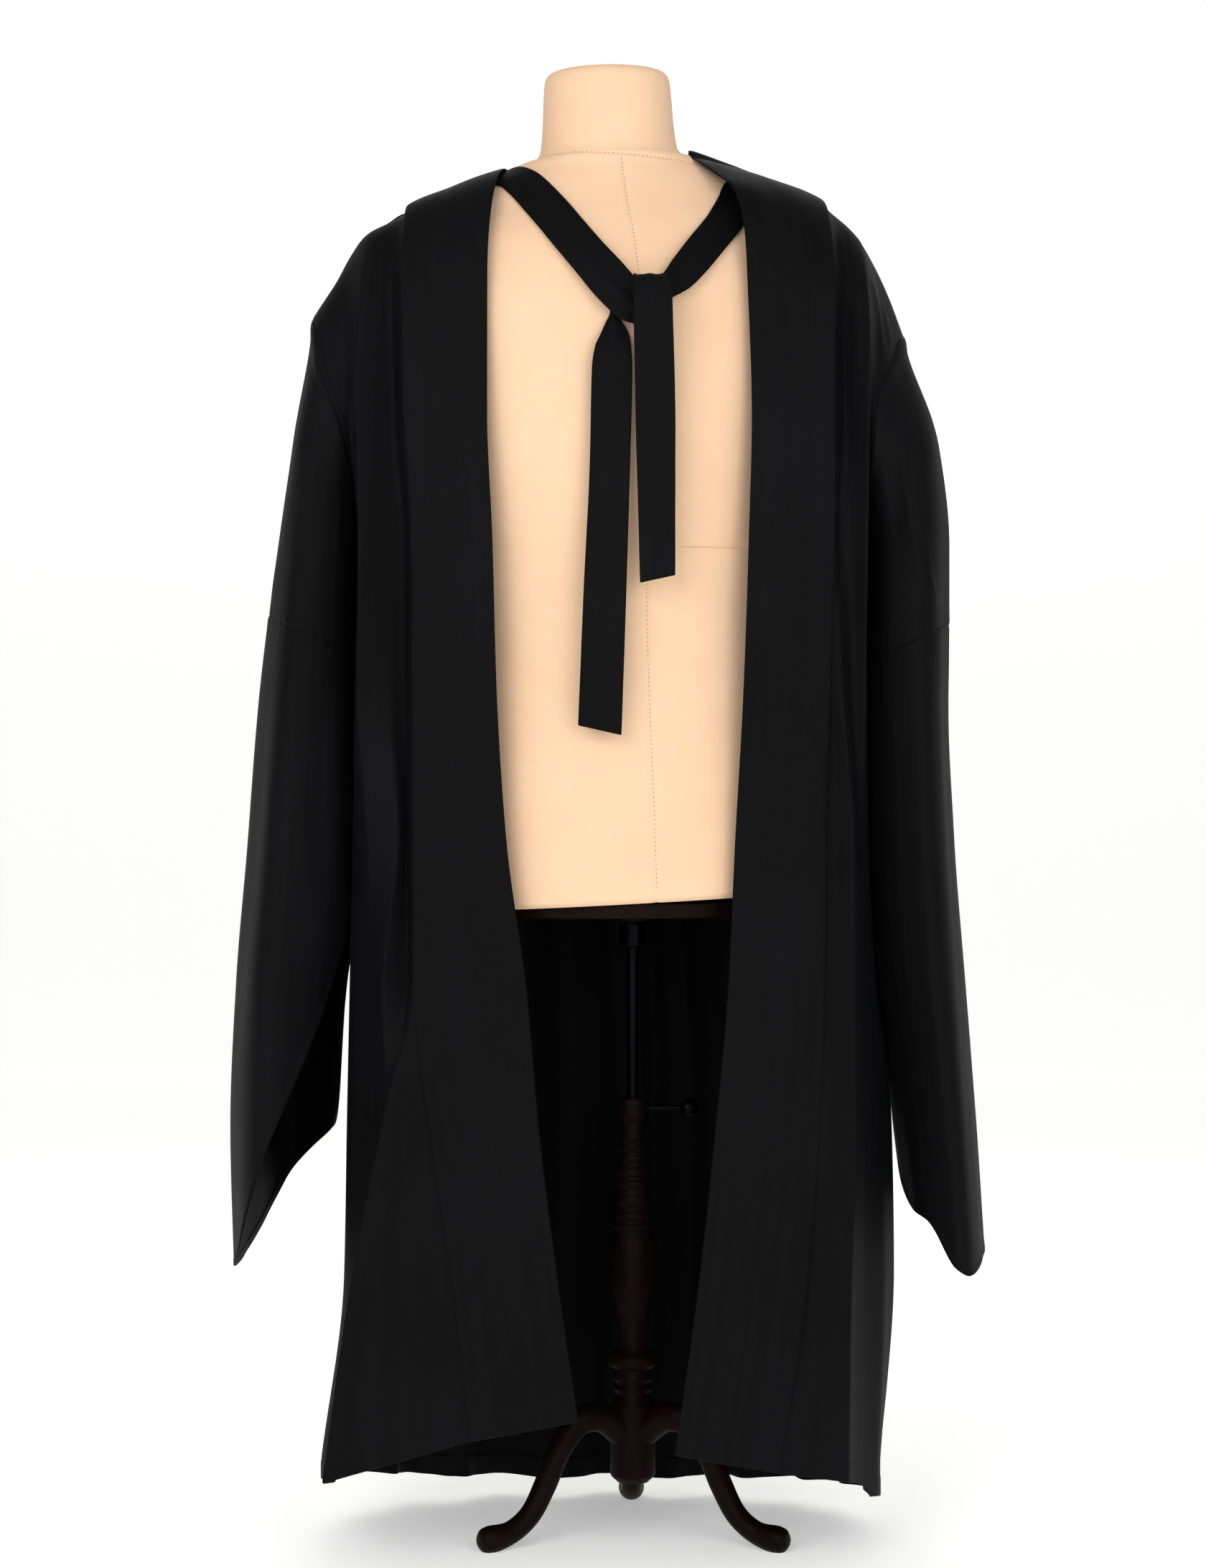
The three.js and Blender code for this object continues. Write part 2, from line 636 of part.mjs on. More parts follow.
// A wall of cloth round a grid of points, which is closed round its columns where loop is true
function wallGeometry(grid, thick, loop = false) {
  const down = grid.length;
  const across = grid[0].length;
  const at = (j, i) => {
    const column = loop ? (i + across) % across : Math.min(Math.max(i, 0), across - 1);
    return grid[Math.min(Math.max(j, 0), down - 1)][column];
  };
  const faces = [[], []];
  for (let j = 0; j < down; j += 1) {
    for (let i = 0; i < across; i += 1) {
      const along = at(j, i + 1).clone().sub(at(j, i - 1));
      const below = at(j + 1, i).clone().sub(at(j - 1, i));
      const normal = along.cross(below).setLength(thick / 2);
      faces[0].push(grid[j][i].clone().add(normal));
      faces[1].push(grid[j][i].clone().sub(normal));
    }
  }
  const positions = [...faces[0], ...faces[1]].flatMap((spot) => [spot.x, spot.y, spot.z]);
  const index = [];
  const quad = (a, b, c, d) => index.push(a, b, c, a, c, d);
  const id = (skin, j, i) => skin * down * across + j * across + (i % across);
  const cells = loop ? across : across - 1;
  for (let j = 0; j < down - 1; j += 1) {
    for (let i = 0; i < cells; i += 1) {
      quad(id(0, j, i), id(0, j, i + 1), id(0, j + 1, i + 1), id(0, j + 1, i));
      quad(id(1, j, i), id(1, j + 1, i), id(1, j + 1, i + 1), id(1, j, i + 1));
    }
  }
  for (let i = 0; i < cells; i += 1) {
    quad(id(0, 0, i + 1), id(0, 0, i), id(1, 0, i), id(1, 0, i + 1));
    quad(id(0, down - 1, i), id(0, down - 1, i + 1), id(1, down - 1, i + 1), id(1, down - 1, i));
  }
  if (!loop) {
    for (let j = 0; j < down - 1; j += 1) {
      quad(id(0, j, 0), id(0, j + 1, 0), id(1, j + 1, 0), id(1, j, 0));
      quad(id(0, j + 1, across - 1), id(0, j, across - 1), id(1, j, across - 1), id(1, j + 1, across - 1));
    }
  }
  return facingOut(positions, index);
}

// A closed body through rings of points, with a fan over each end
function loftGeometry(rings) {
  const count = rings[0].length;
  const centre = (ring) => ring.reduce((sum, spot) => sum.add(spot), point(0, 0, 0)).divideScalar(count);
  const spots = [...rings.flat(), centre(rings[0]), centre(rings[rings.length - 1])];
  const positions = spots.flatMap((spot) => [spot.x, spot.y, spot.z]);
  const index = [];
  const firstCentre = rings.length * count;
  for (let i = 0; i < count; i += 1) {
    const next = (i + 1) % count;
    for (let j = 0; j < rings.length - 1; j += 1) {
      const low = j * count;
      const high = low + count;
      index.push(low + i, low + next, high + next, low + i, high + next, high + i);
    }
    const top = (rings.length - 1) * count;
    index.push(firstCentre, next, i, firstCentre + 1, top + i, top + next);
  }
  return facingOut(positions, index);
}

function facingOut(positions, index) {
  const corner = (i) => point(...positions.slice(index[i] * 3, index[i] * 3 + 3));
  let volume = 0;
  for (let i = 0; i < index.length; i += 3) {
    volume += corner(i).dot(corner(i + 1).cross(corner(i + 2)));
  }
  const order = volume > 0 ? index : [...index].reverse();
  const geometry = new THREE.BufferGeometry();
  geometry.setAttribute('position', new THREE.Float32BufferAttribute(positions, 3));
  geometry.setIndex(order);
  geometry.computeVertexNormals();
  return geometry;
}

function toSolid(geometry) {
  const bare = geometry.clone();
  bare.deleteAttribute('normal');
  bare.deleteAttribute('uv');
  const merged = mergeVertices(bare, 1e-4);
  const vertProperties = new Float32Array(merged.attributes.position.array);
  const triVerts = new Uint32Array(merged.index.array);
  return new wasm.Manifold(new wasm.Mesh({ numProp: 3, vertProperties, triVerts }));
}

function fromSolid(solid) {
  const mesh = solid.getMesh();
  const geometry = new THREE.BufferGeometry();
  geometry.setAttribute('position', new THREE.Float32BufferAttribute(mesh.vertProperties, 3));
  geometry.setIndex([...mesh.triVerts]);
  geometry.computeVertexNormals();
  return geometry;
}

// Dress form
const formRead = Object.fromEntries(
  ['wide', 'deep', 'square'].map((column) => [column, track(formRings, 'z', column)]),
);

function formCentreX(z) {
  return blend(formAxis.low, formAxis.top, (z - formBottom) / (formTop - formBottom));
}

function tiltAt(z) {
  const rise = THREE.MathUtils.smoothstep(z, 950, 1200);
  return shoulderTilt * rise * (1 - 0.6 * THREE.MathUtils.smoothstep(z, 1320, 1380));
}

function formPoint(ring, angle) {
  const { z, wide, deep, square } = ring;
  const bend = (value) => Math.sign(value) * Math.abs(value) ** (2 / square);
  const x = wide * bend(Math.cos(angle));
  const y = deep * bend(Math.sin(angle));
  const turnedX = x * Math.cos(turn) - y * Math.sin(turn);
  const turnedY = x * Math.sin(turn) + y * Math.cos(turn);
  return point(formCentreX(z) + turnedX, turnedY, z + tiltAt(z) * turnedX);
}

function formGeometry() {
  return loftGeometry(formRings.map((ring) => (
    Array.from({ length: formPoints }, (_, i) => formPoint(ring, (i / formPoints) * 2 * Math.PI))
  )));
}

// How far the chest reaches to the front at a place, found by halving the distance
function chestY(x, z) {
  const isInside = (y) => {
    const level = z - tiltAt(z) * (x - formCentreX(z));
    const dx = x - formCentreX(level);
    const localX = dx * Math.cos(turn) + y * Math.sin(turn);
    const localY = y * Math.cos(turn) - dx * Math.sin(turn);
    const square = formRead.square(level);
    const across = Math.abs(localX / formRead.wide(level)) ** square;
    return across + Math.abs(localY / formRead.deep(level)) ** square < 1;
  };
  let outside = -220;
  let inside = x * ridgeSlope;
  for (let i = 0; i < 24; i += 1) {
    const middle = (outside + inside) / 2;
    if (isInside(middle)) inside = middle;
    else outside = middle;
  }
  return outside;
}

function boardGeometry() {
  const outline = new THREE.Shape();
  const inset = { ...formRings[0], wide: formRings[0].wide - 6, deep: formRings[0].deep - 6 };
  for (let i = 0; i < formPoints; i += 1) {
    const spot = formPoint(inset, (i / formPoints) * 2 * Math.PI);
    if (i === 0) outline.moveTo(spot.x, spot.y);
    else outline.lineTo(spot.x, spot.y);
  }
  const geometry = new THREE.ExtrudeGeometry(outline, { depth: boardThick, bevelEnabled: false });
  return geometry.translate(0, 0, formBottom - seamGap - boardThick);
}

// Round pieces turned about a vertical axis
function turned(profile, points = roundSides) {
  const geometry = new THREE.LatheGeometry(profile.map(([r, z]) => new THREE.Vector2(r, z)), points);
  return geometry.rotateX(Math.PI / 2);
}

const flangeTop = formBottom - seamGap * 2 - boardThick;

function flangeGeometry() {
  const bore = rodRadius + boreGap;
  const profile = [[0, flangeTop], [34, flangeTop], [34, flangeTop - 5], [15, flangeTop - 8], [13, flangeTop - 30]];
  return turned([...profile, [bore, flangeTop - 30], [bore, flangeTop - 6], [0, flangeTop - 6]].reverse())
    .translate(postX, 0, 0);
}

function rodGeometry() {
  const rodTop = flangeTop - 6 - seamGap;
  const bar = toSolid(turned([[0, rodFloor], [rodRadius, rodFloor], [rodRadius, rodTop], [0, rodTop]]));
  const length = rodTop - rodFloor;
  const block = new THREE.BoxGeometry(rodRadius, rodRadius * 4, length);
  const cut = toSolid(block.translate(flatReach + rodRadius / 2, 0, rodFloor + length / 2 - flatShort));
  return fromSolid(bar.subtract(cut)).translate(postX, 0, 0);
}

function postGeometry() {
  const bore = rodRadius + boreGap;
  const outside = postProfile.map(({ r, z }) => [r, z]);
  const last = postProfile[postProfile.length - 1].z;
  const profile = [[0, boreFloor], [bore, boreFloor], [bore, postTop], ...outside, [0, last]].reverse();
  const hole = new THREE.CylinderGeometry(screwRadius + boreGap, screwRadius + boreGap, 30, screwSides);
  const cut = toSolid(hole.rotateZ(Math.PI / 2).translate(15, 0, screwZ));
  return fromSolid(toSolid(turned(profile)).subtract(cut)).translate(postX, 0, 0);
}

// Thumb screw: a plain shaft that meets the rod's flat, and a flattened ball to turn it by
function screwGeometry() {
  const tip = flatReach + seamGap;
  const profile = [
    [0, tip], [screwRadius, tip], [screwRadius, 46], [5, 47], [8.5, 51], [9, 56], [8, 61], [4, 64], [0, 64.5],
  ];
  return turned(profile, screwSides).rotateY(Math.PI / 2).translate(postX, 0, screwZ);
}

function legGeometry(angle) {
  const curve = new THREE.CatmullRomCurve3(legPath.map(({ out, z }) => point(out, 0, z)), false, 'centripetal');
  const widths = new THREE.CatmullRomCurve3(legPath.map(({ r }, i) => point(i, r, 0)), false, 'centripetal');
  const steps = 14;
  const sides = 12;
  const rings = [];
  for (let j = 0; j <= steps; j += 1) {
    const centre = curve.getPoint(j / steps);
    const along = curve.getTangent(j / steps);
    const r = widths.getPoint(j / steps).y;
    const up = point(-along.z, 0, along.x);
    rings.push(Array.from({ length: sides }, (_, i) => {
      const round = (i / sides) * 2 * Math.PI;
      return centre.clone().addScaledVector(up, Math.cos(round) * r).add(point(0, Math.sin(round) * r, 0));
    }));
  }
  const end = curve.getPoint(1);
  const tip = curve.getTangent(1);
  [[7, 0.86], [11, 0.5]].forEach(([ahead, size]) => {
    rings.push(rings[steps].map((spot) => (
      spot.clone().sub(end).multiplyScalar(size).add(end).addScaledVector(tip, ahead)
    )));
  });
  const floorBox = new THREE.BoxGeometry(800, 200, 200).translate(0, 0, -100);
  const hub = new THREE.CylinderGeometry(hubRadius + seamGap, hubRadius + seamGap, 300, 40).rotateX(Math.PI / 2);
  const leg = toSolid(loftGeometry(rings)).subtract(toSolid(floorBox)).subtract(toSolid(hub));
  return fromSolid(leg).rotateZ(angle).translate(postX, 0, 0);
}

// Neck tie
function knotSolid(extra) {
  const ball = new THREE.SphereGeometry(1, 20, 12);
  const spots = ball.attributes.position;
  for (let i = 0; i < spots.count; i += 1) {
    const spot = new THREE.Vector3().fromBufferAttribute(spots, i);
    const bend = (value, power) => Math.sign(value) * Math.abs(value) ** power;
    const x = bend(spot.x, 0.8) * (knot.wide + extra) * (1 - 0.12 * spot.y);
    const z = bend(spot.y, 0.8) * (knot.tall + extra);
    const dent = 1 - 0.22 * Math.exp(-(((x + 3) / 5) ** 2));
    spots.setXYZ(i, knot.x + x, knot.y + spot.z * (knot.deep + extra) * dent, knot.z + z);
  }
  return toSolid(facingOut([...spots.array], [...ball.index.array]));
}

function cutByKnot(geometry) {
  return fromSolid(toSolid(geometry).subtract(knotSolid(seamGap)));
}

function strapGeometry(table) {
  const stations = 14;
  const across = 3;
  const curveOf = (edge) => new THREE.CatmullRomCurve3(
    table.map((row) => point(row[edge][0], row[edge][1], row.off)),
    false,
    'centripetal',
  );
  const upper = curveOf('upper');
  const lower = curveOf('lower');
  const grid = [];
  for (let j = 0; j <= stations; j += 1) {
    const from = upper.getPoint(j / stations);
    const to = lower.getPoint(j / stations);
    grid.push(Array.from({ length: across + 1 }, (_, i) => {
      const spot = from.clone().lerp(to, i / across);
      return point(spot.x, chestY(spot.x, spot.y) - spot.z, spot.y);
    }));
  }
  return cutByKnot(wallGeometry(grid, ribbonWall));
}

function tailGeometry(table, depth) {
  const from = track(table, 'z', 'from');
  const to = track(table, 'z', 'to');
  const top = table[0].z;
  const bottom = table[table.length - 1].z;
  const stations = 14;
  const across = 3;
  const grid = [];
  for (let j = 0; j <= stations; j += 1) {
    grid.push(Array.from({ length: across + 1 }, (_, i) => {
      const share = i / across;
      const z = blend(top, bottom + 7 * share, j / stations);
      const cup = 1.5 * (4 * share * (1 - share));
      return point(blend(from(z), to(z), share), depth - cup, z);
    }));
  }
  return cutByKnot(wallGeometry(grid, ribbonWall));
}

const model = new THREE.Group();
model.name = 'judge_gown_on_dress_form';

function addPiece(name, geometry, material) {
  const mesh = new THREE.Mesh(geometry.translate(0, centring, 0), material);
  mesh.name = name;
  model.add(mesh);
}

['left', 'right'].forEach((name) => {
  addPiece(`band_${name}`, wallGeometry(bandGrid(name), clothWall), cloth());
  addPiece(`front_${name}`, wallGeometry(frontGrid(name), clothWall), cloth());
  addPiece(`sleeve_${name}_upper`, wallGeometry(upperSleeveGrid(name, 8), clothWall, true), cloth());
  addPiece(`sleeve_${name}_lower`, wallGeometry(lowerSleeveGrid(name, 9), clothWall, true), cloth());
});
addPiece('back', wallGeometry(backGrid(), clothWall), cloth());

addPiece('tie_strap_left', strapGeometry(ribbon.strapLeft), cloth());
addPiece('tie_strap_right', strapGeometry(ribbon.strapRight), cloth());
addPiece('tie_knot', fromSolid(knotSolid(0)), cloth());
addPiece('tie_tail_left', tailGeometry(tails.left, tailY), cloth());
addPiece('tie_tail_right', tailGeometry(tails.right, tailY - 2), cloth());

addPiece('form_torso', formGeometry(), jersey());
addPiece('form_board', boardGeometry(), mahogany());
addPiece('rod_flange', flangeGeometry(), darkSteel());
addPiece('stand_rod', rodGeometry(), darkSteel());
addPiece('stand_post', postGeometry(), mahogany());
addPiece('clamp_screw', screwGeometry(), darkSteel());
[210, 330, 90].forEach((degrees, i) => {
  addPiece(`stand_leg_${i + 1}`, legGeometry(THREE.MathUtils.degToRad(degrees)), mahogany());
});

export default model;
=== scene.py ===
# Open judge's gown with a knotted neck tie, on a limbless dress form with a turned wooden stand.
# The tables hold millimetres in the part's own frame, seen from the front; meshes are made in metres.
import math

import bmesh
import bpy
import numpy as np
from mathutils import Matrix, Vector


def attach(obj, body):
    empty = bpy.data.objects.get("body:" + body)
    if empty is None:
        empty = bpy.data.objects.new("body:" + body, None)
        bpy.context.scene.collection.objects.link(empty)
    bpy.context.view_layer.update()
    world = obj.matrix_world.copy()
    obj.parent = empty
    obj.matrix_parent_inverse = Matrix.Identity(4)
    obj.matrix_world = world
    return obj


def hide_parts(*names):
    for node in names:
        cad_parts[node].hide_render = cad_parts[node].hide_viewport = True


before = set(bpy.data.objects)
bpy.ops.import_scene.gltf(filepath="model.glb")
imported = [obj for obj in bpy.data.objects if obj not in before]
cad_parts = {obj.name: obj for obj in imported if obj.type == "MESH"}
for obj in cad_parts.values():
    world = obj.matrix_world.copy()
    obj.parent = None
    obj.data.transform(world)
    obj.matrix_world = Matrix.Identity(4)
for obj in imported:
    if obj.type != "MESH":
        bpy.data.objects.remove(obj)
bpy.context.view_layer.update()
print("frame loaded")

gownBody = "dressed_form"
centring = -8  # the part is moved back by this much, so that its middle is over the origin

# Camera, floor and light

photoCamera = {"side": -4, "distance": 3200, "height": 730, "frameTall": 1529.5, "sensor": 36}
studio = {
    "floorSize": 14, "wallHeight": 7, "bendRadius": 2, "bendSteps": 24,  # metres
    "floorColour": "#FAFAF9", "glow": 0.36, "ambient": 0.47, "aimHeight": 0.75,
    "lights": [
        {"place": (-1300, -3000, 1800), "size": 2000, "watts": 43},
        {"place": (1400, -3000, 1400), "size": 2000, "watts": 31},
        {"place": (0, 2300, 2500), "size": 1800, "watts": 16},
    ],
}


def metres(*values):
    return tuple(value / 1000 for value in values)


def linearColour(hexText):
    channels = [int(hexText[i:i + 2], 16) / 255 for i in (1, 3, 5)]
    return tuple(c / 12.92 if c <= 0.04045 else ((c + 0.055) / 1.055) ** 2.4 for c in channels) + (1.0,)


def addCamera(user):
    data = bpy.data.cameras.new("photoCamera")
    data.sensor_width = user["sensor"]
    data.lens = user["sensor"] * user["distance"] / user["frameTall"]
    data.clip_end = 100
    seen = bpy.data.objects.new("photoCamera", data)
    seen.location = metres(user["side"], centring - user["distance"], user["height"])
    seen.rotation_euler = (math.pi / 2, 0, 0)
    bpy.context.scene.collection.objects.link(seen)
    bpy.context.scene.camera = seen


def addStudio(user):
    bpy.ops.object.select_all(action="DESELECT")
    bpy.ops.mesh.primitive_plane_add(size=user["floorSize"], location=(0, 0, 0))
    floor = bpy.context.object
    floor.name = "studioFloor"
    bpy.ops.object.mode_set(mode="EDIT")
    bpy.ops.mesh.select_all(action="DESELECT")
    bpy.ops.object.mode_set(mode="OBJECT")
    for edge in floor.data.edges:
        edge.select = all(floor.data.vertices[i].co.y > 0 for i in edge.vertices)
    bpy.ops.object.mode_set(mode="EDIT")
    bpy.ops.mesh.extrude_region_move(TRANSFORM_OT_translate={"value": (0, 0, user["wallHeight"])})
    bpy.ops.object.mode_set(mode="OBJECT")
    bend = floor.modifiers.new("bend", "BEVEL")
    bend.width = user["bendRadius"]
    bend.segments = user["bendSteps"]
    bpy.ops.object.modifier_apply(modifier="bend")
    bpy.ops.object.shade_smooth()
    paper = bpy.data.materials.new("paleBackdropPaper")
    paper.use_nodes = True
    shader = paper.node_tree.nodes["Principled BSDF"]
    shader.inputs["Base Color"].default_value = linearColour(user["floorColour"])
    shader.inputs["Roughness"].default_value = 0.9
    shader.inputs["Specular IOR Level"].default_value = 0.1
    shader.inputs["Emission Color"].default_value = (1, 1, 1, 1)
    shader.inputs["Emission Strength"].default_value = user["glow"]
    floor.data.materials.append(paper)
    for i, light in enumerate(user["lights"]):
        data = bpy.data.lights.new(f"softLight{i + 1}", "AREA")
        data.energy = light["watts"]
        data.size = light["size"] / 1000
        lamp = bpy.data.objects.new(data.name, data)
        lamp.location = metres(*light["place"])
        aim = Vector((0, 0, user["aimHeight"])) - lamp.location
        lamp.rotation_euler = aim.to_track_quat("-Z", "Y").to_euler()
        bpy.context.scene.collection.objects.link(lamp)
    world = bpy.data.worlds.new("softWorld")
    world.use_nodes = True
    world.node_tree.nodes["Background"].inputs["Color"].default_value = (1, 1, 1, 1)
    world.node_tree.nodes["Background"].inputs["Strength"].default_value = user["ambient"]
    bpy.context.scene.world = world
    bpy.context.scene.view_settings.view_transform = "Standard"


addCamera(photoCamera)
addStudio(studio)
print("camera and studio ready")

# Materials


def addNode(tree, kind, settings=None, links=None):
    node = tree.nodes.new(kind)
    for name, value in (settings or {}).items():
        if isinstance(name, int) or name in node.inputs:
            node.inputs[name].default_value = value
        else:
            setattr(node, name, value)
    for name, socket in (links or {}).items():
        tree.links.new(socket, node.inputs[name])
    return node


def newMaterial(name, settings):
    made = bpy.data.materials.new(name)
    made.use_nodes = True
    shader = made.node_tree.nodes["Principled BSDF"]
    for key, value in settings.items():
        shader.inputs[key].default_value = value
    return made, made.node_tree, shader


def wavePeriod(millimetres):
    return 2 * math.pi / 20 / (millimetres / 1000)  # the wave node's scale for stripes this far apart


# The light colour and the streaks carry painted sheen as well as uneven yarn.
gownCloth = {
    "dark": "#080809", "light": "#0E0E10", "sheen": 0.008, "shine": 0.055, "roughness": 0.62,
    "threadGap": 1.3, "streakWide": 9, "streakLong": 420,
}


# Black polyester and viscose gown cloth, closely woven and pressed: matt, with a faint satin bloom at grazing angles.
# Soft lighter streaks along the warp are painted into its colour, partly uneven yarn and partly painted sheen. Its
# threads are 0.4 mm apart, drawn coarser to show.
def makeGownCloth(user):
    made, tree, shader = newMaterial("wovenGownCloth", {
        "Roughness": user["roughness"], "Specular IOR Level": user["shine"], "IOR": 1.5,
        "Sheen Weight": user["sheen"], "Sheen Roughness": 0.45, "Sheen Tint": linearColour("#C9D3E6"),
    })
    uv = addNode(tree, "ShaderNodeUVMap", {"uv_map": "cloth"})
    streakMap = addNode(tree, "ShaderNodeMapping", {
        "Scale": (1000 / user["streakWide"], 1000 / user["streakLong"], 1),
    }, {"Vector": uv.outputs["UV"]})
    streaksAndSheen = addNode(tree, "ShaderNodeTexNoise", {"Scale": 1.0, "Detail": 5.0, "Roughness": 0.6},
                      {"Vector": streakMap.outputs["Vector"]})
    place = addNode(tree, "ShaderNodeTexCoord")
    clouds = addNode(tree, "ShaderNodeTexNoise", {"Scale": 5.5, "Detail": 3.0},
                     {"Vector": place.outputs["Object"]})
    both = addNode(tree, "ShaderNodeMath", {"operation": "ADD"},
                   {0: streaksAndSheen.outputs["Fac"], 1: clouds.outputs["Fac"]})
    tone = addNode(tree, "ShaderNodeMapRange", {"From Min": 0.75, "From Max": 1.25},
                   {"Value": both.outputs["Value"]})
    # The lighter tone follows the warp streaks: partly uneven yarn, partly painted sheen.
    colour = addNode(tree, "ShaderNodeMix", {
        "data_type": "RGBA", 6: linearColour(user["dark"]), 7: linearColour(user["light"]),
    }, {0: tone.outputs["Result"]})
    tree.links.new(colour.outputs[2], shader.inputs["Base Color"])
    warp = addNode(tree, "ShaderNodeTexWave", {
        "bands_direction": "X", "Scale": wavePeriod(user["threadGap"]), "Distortion": 0.6,
    }, {"Vector": uv.outputs["UV"]})
    weft = addNode(tree, "ShaderNodeTexWave", {
        "bands_direction": "Y", "Scale": wavePeriod(user["threadGap"]), "Distortion": 0.6,
    }, {"Vector": uv.outputs["UV"]})
    weave = addNode(tree, "ShaderNodeMath", {"operation": "MULTIPLY"},
                    {0: warp.outputs["Fac"], 1: weft.outputs["Fac"]})
    rough = addNode(tree, "ShaderNodeMapRange", {"To Min": 0.56, "To Max": 0.72},
                    {"Value": streaksAndSheen.outputs["Fac"]})
    tree.links.new(rough.outputs["Result"], shader.inputs["Roughness"])
    bump = addNode(tree, "ShaderNodeBump", {"Strength": 0.25, "Distance": 0.0003},
                   {"Height": weave.outputs["Value"]})
    tree.links.new(bump.outputs["Normal"], shader.inputs["Normal"])
    return made


threadInfo = {"black": "#101012", "cream": "#C59A6C"}


# Spun polyester sewing thread: slightly glossier than the cloth that it holds, so that stitches catch light.
def makeThread(name, hexText):
    made, tree, shader = newMaterial(name, {"Roughness": 0.5, "Specular IOR Level": 0.15})
    place = addNode(tree, "ShaderNodeTexCoord")
    twist = addNode(tree, "ShaderNodeTexNoise", {"Scale": 900.0, "Detail": 2.0},
                    {"Vector": place.outputs["Object"]})
    tint = linearColour(hexText)
    colour = addNode(tree, "ShaderNodeMix", {
        "data_type": "RGBA", 6: tuple(0.75 * c for c in tint[:3]) + (1.0,), 7: tint,
    }, {0: twist.outputs["Fac"]})
    tree.links.new(colour.outputs[2], shader.inputs["Base Color"])
    return made


formJersey = {"shade": "#ECC49F", "lit": "#F0CBA9", "roughness": 0.85, "knitGap": 1.4}


# Cream cotton jersey stretched over the padded form: matt, warm, with a fine knit and a faint mottle.
# Its loops are 0.5 mm apart, drawn coarser to show.
def makeJersey(user):
    made, tree, shader = newMaterial("creamCottonJersey", {
        "Roughness": user["roughness"], "Specular IOR Level": 0.2, "Sheen Weight": 0.05,
        "Sheen Roughness": 0.6,
    })
    place = addNode(tree, "ShaderNodeTexCoord")
    mottle = addNode(tree, "ShaderNodeTexNoise", {"Scale": 9.0, "Detail": 6.0, "Roughness": 0.65},
                     {"Vector": place.outputs["Object"]})
    tone = addNode(tree, "ShaderNodeMapRange", {"From Min": 0.3, "From Max": 0.7},
                   {"Value": mottle.outputs["Fac"]})
    colour = addNode(tree, "ShaderNodeMix", {
        "data_type": "RGBA", 6: linearColour(user["shade"]), 7: linearColour(user["lit"]),
    }, {0: tone.outputs["Result"]})
    tree.links.new(colour.outputs[2], shader.inputs["Base Color"])
    knit = addNode(tree, "ShaderNodeTexWave", {
        "bands_direction": "Z", "Scale": wavePeriod(user["knitGap"]), "Distortion": 2.0, "Detail": 2.0,
    }, {"Vector": place.outputs["Object"]})
    fuzz = addNode(tree, "ShaderNodeTexNoise", {"Scale": 700.0, "Detail": 3.0},
                   {"Vector": place.outputs["Object"]})
    relief = addNode(tree, "ShaderNodeMath", {"operation": "ADD"},
                     {0: knit.outputs["Fac"], 1: fuzz.outputs["Fac"]})
    bump = addNode(tree, "ShaderNodeBump", {"Strength": 0.12, "Distance": 0.0003},
                   {"Height": relief.outputs["Value"]})
    tree.links.new(bump.outputs["Normal"], shader.inputs["Normal"])
    return made


# Wood colours: the dark mahogany stain, darkened to near black with painted shade, as the stand stands in the gown's
# shadow.
turnedWoodWithPaintedShade = {"dark": "#070303", "red": "#150605", "roughness": 0.5, "grainGap": 3.5}


# Beech stained to dark mahogany, turned and lacquered: streaky red-brown grain under a satin gloss. Both grain
# colours are set near black, the stain darkened further as painted shade for the stand's place in the shadow under
# the gown.
def makeWood(user):
    made, tree, shader = newMaterial("stainedBeechWithPaintedShade", {
        "Roughness": user["roughness"], "IOR": 1.5, "Specular IOR Level": 0.06,
    })
    place = addNode(tree, "ShaderNodeTexCoord")
    stretch = addNode(tree, "ShaderNodeMapping", {"Scale": (1.0, 1.0, 0.12)},
                      {"Vector": place.outputs["Object"]})
    grain = addNode(tree, "ShaderNodeTexNoise", {
        "Scale": 1000 / user["grainGap"], "Detail": 5.0, "Roughness": 0.6, "Distortion": 0.4,
    }, {"Vector": stretch.outputs["Vector"]})
    figure = addNode(tree, "ShaderNodeTexNoise", {"Scale": 26.0, "Detail": 3.0},
                     {"Vector": stretch.outputs["Vector"]})
    both = addNode(tree, "ShaderNodeMath", {"operation": "MULTIPLY_ADD", 1: 0.5},
                   {0: grain.outputs["Fac"], 2: figure.outputs["Fac"]})
    tone = addNode(tree, "ShaderNodeMapRange", {"From Min": 0.5, "From Max": 0.95},
                   {"Value": both.outputs["Value"]})
    colour = addNode(tree, "ShaderNodeMix", {
        "data_type": "RGBA", 6: linearColour(user["dark"]), 7: linearColour(user["red"]),
    }, {0: tone.outputs["Result"]})
    tree.links.new(colour.outputs[2], shader.inputs["Base Color"])
    bump = addNode(tree, "ShaderNodeBump", {"Strength": 0.1, "Distance": 0.0003},
                   {"Height": grain.outputs["Fac"]})
    tree.links.new(bump.outputs["Normal"], shader.inputs["Normal"])
    return made


# Steel colours: blackening plus painted shade, as the rod, flange and screw sit in the gown's shadow.
standSteelWithPaintedShade = {"dark": "#08080A", "bright": "#141416", "scratchGap": 0.8}


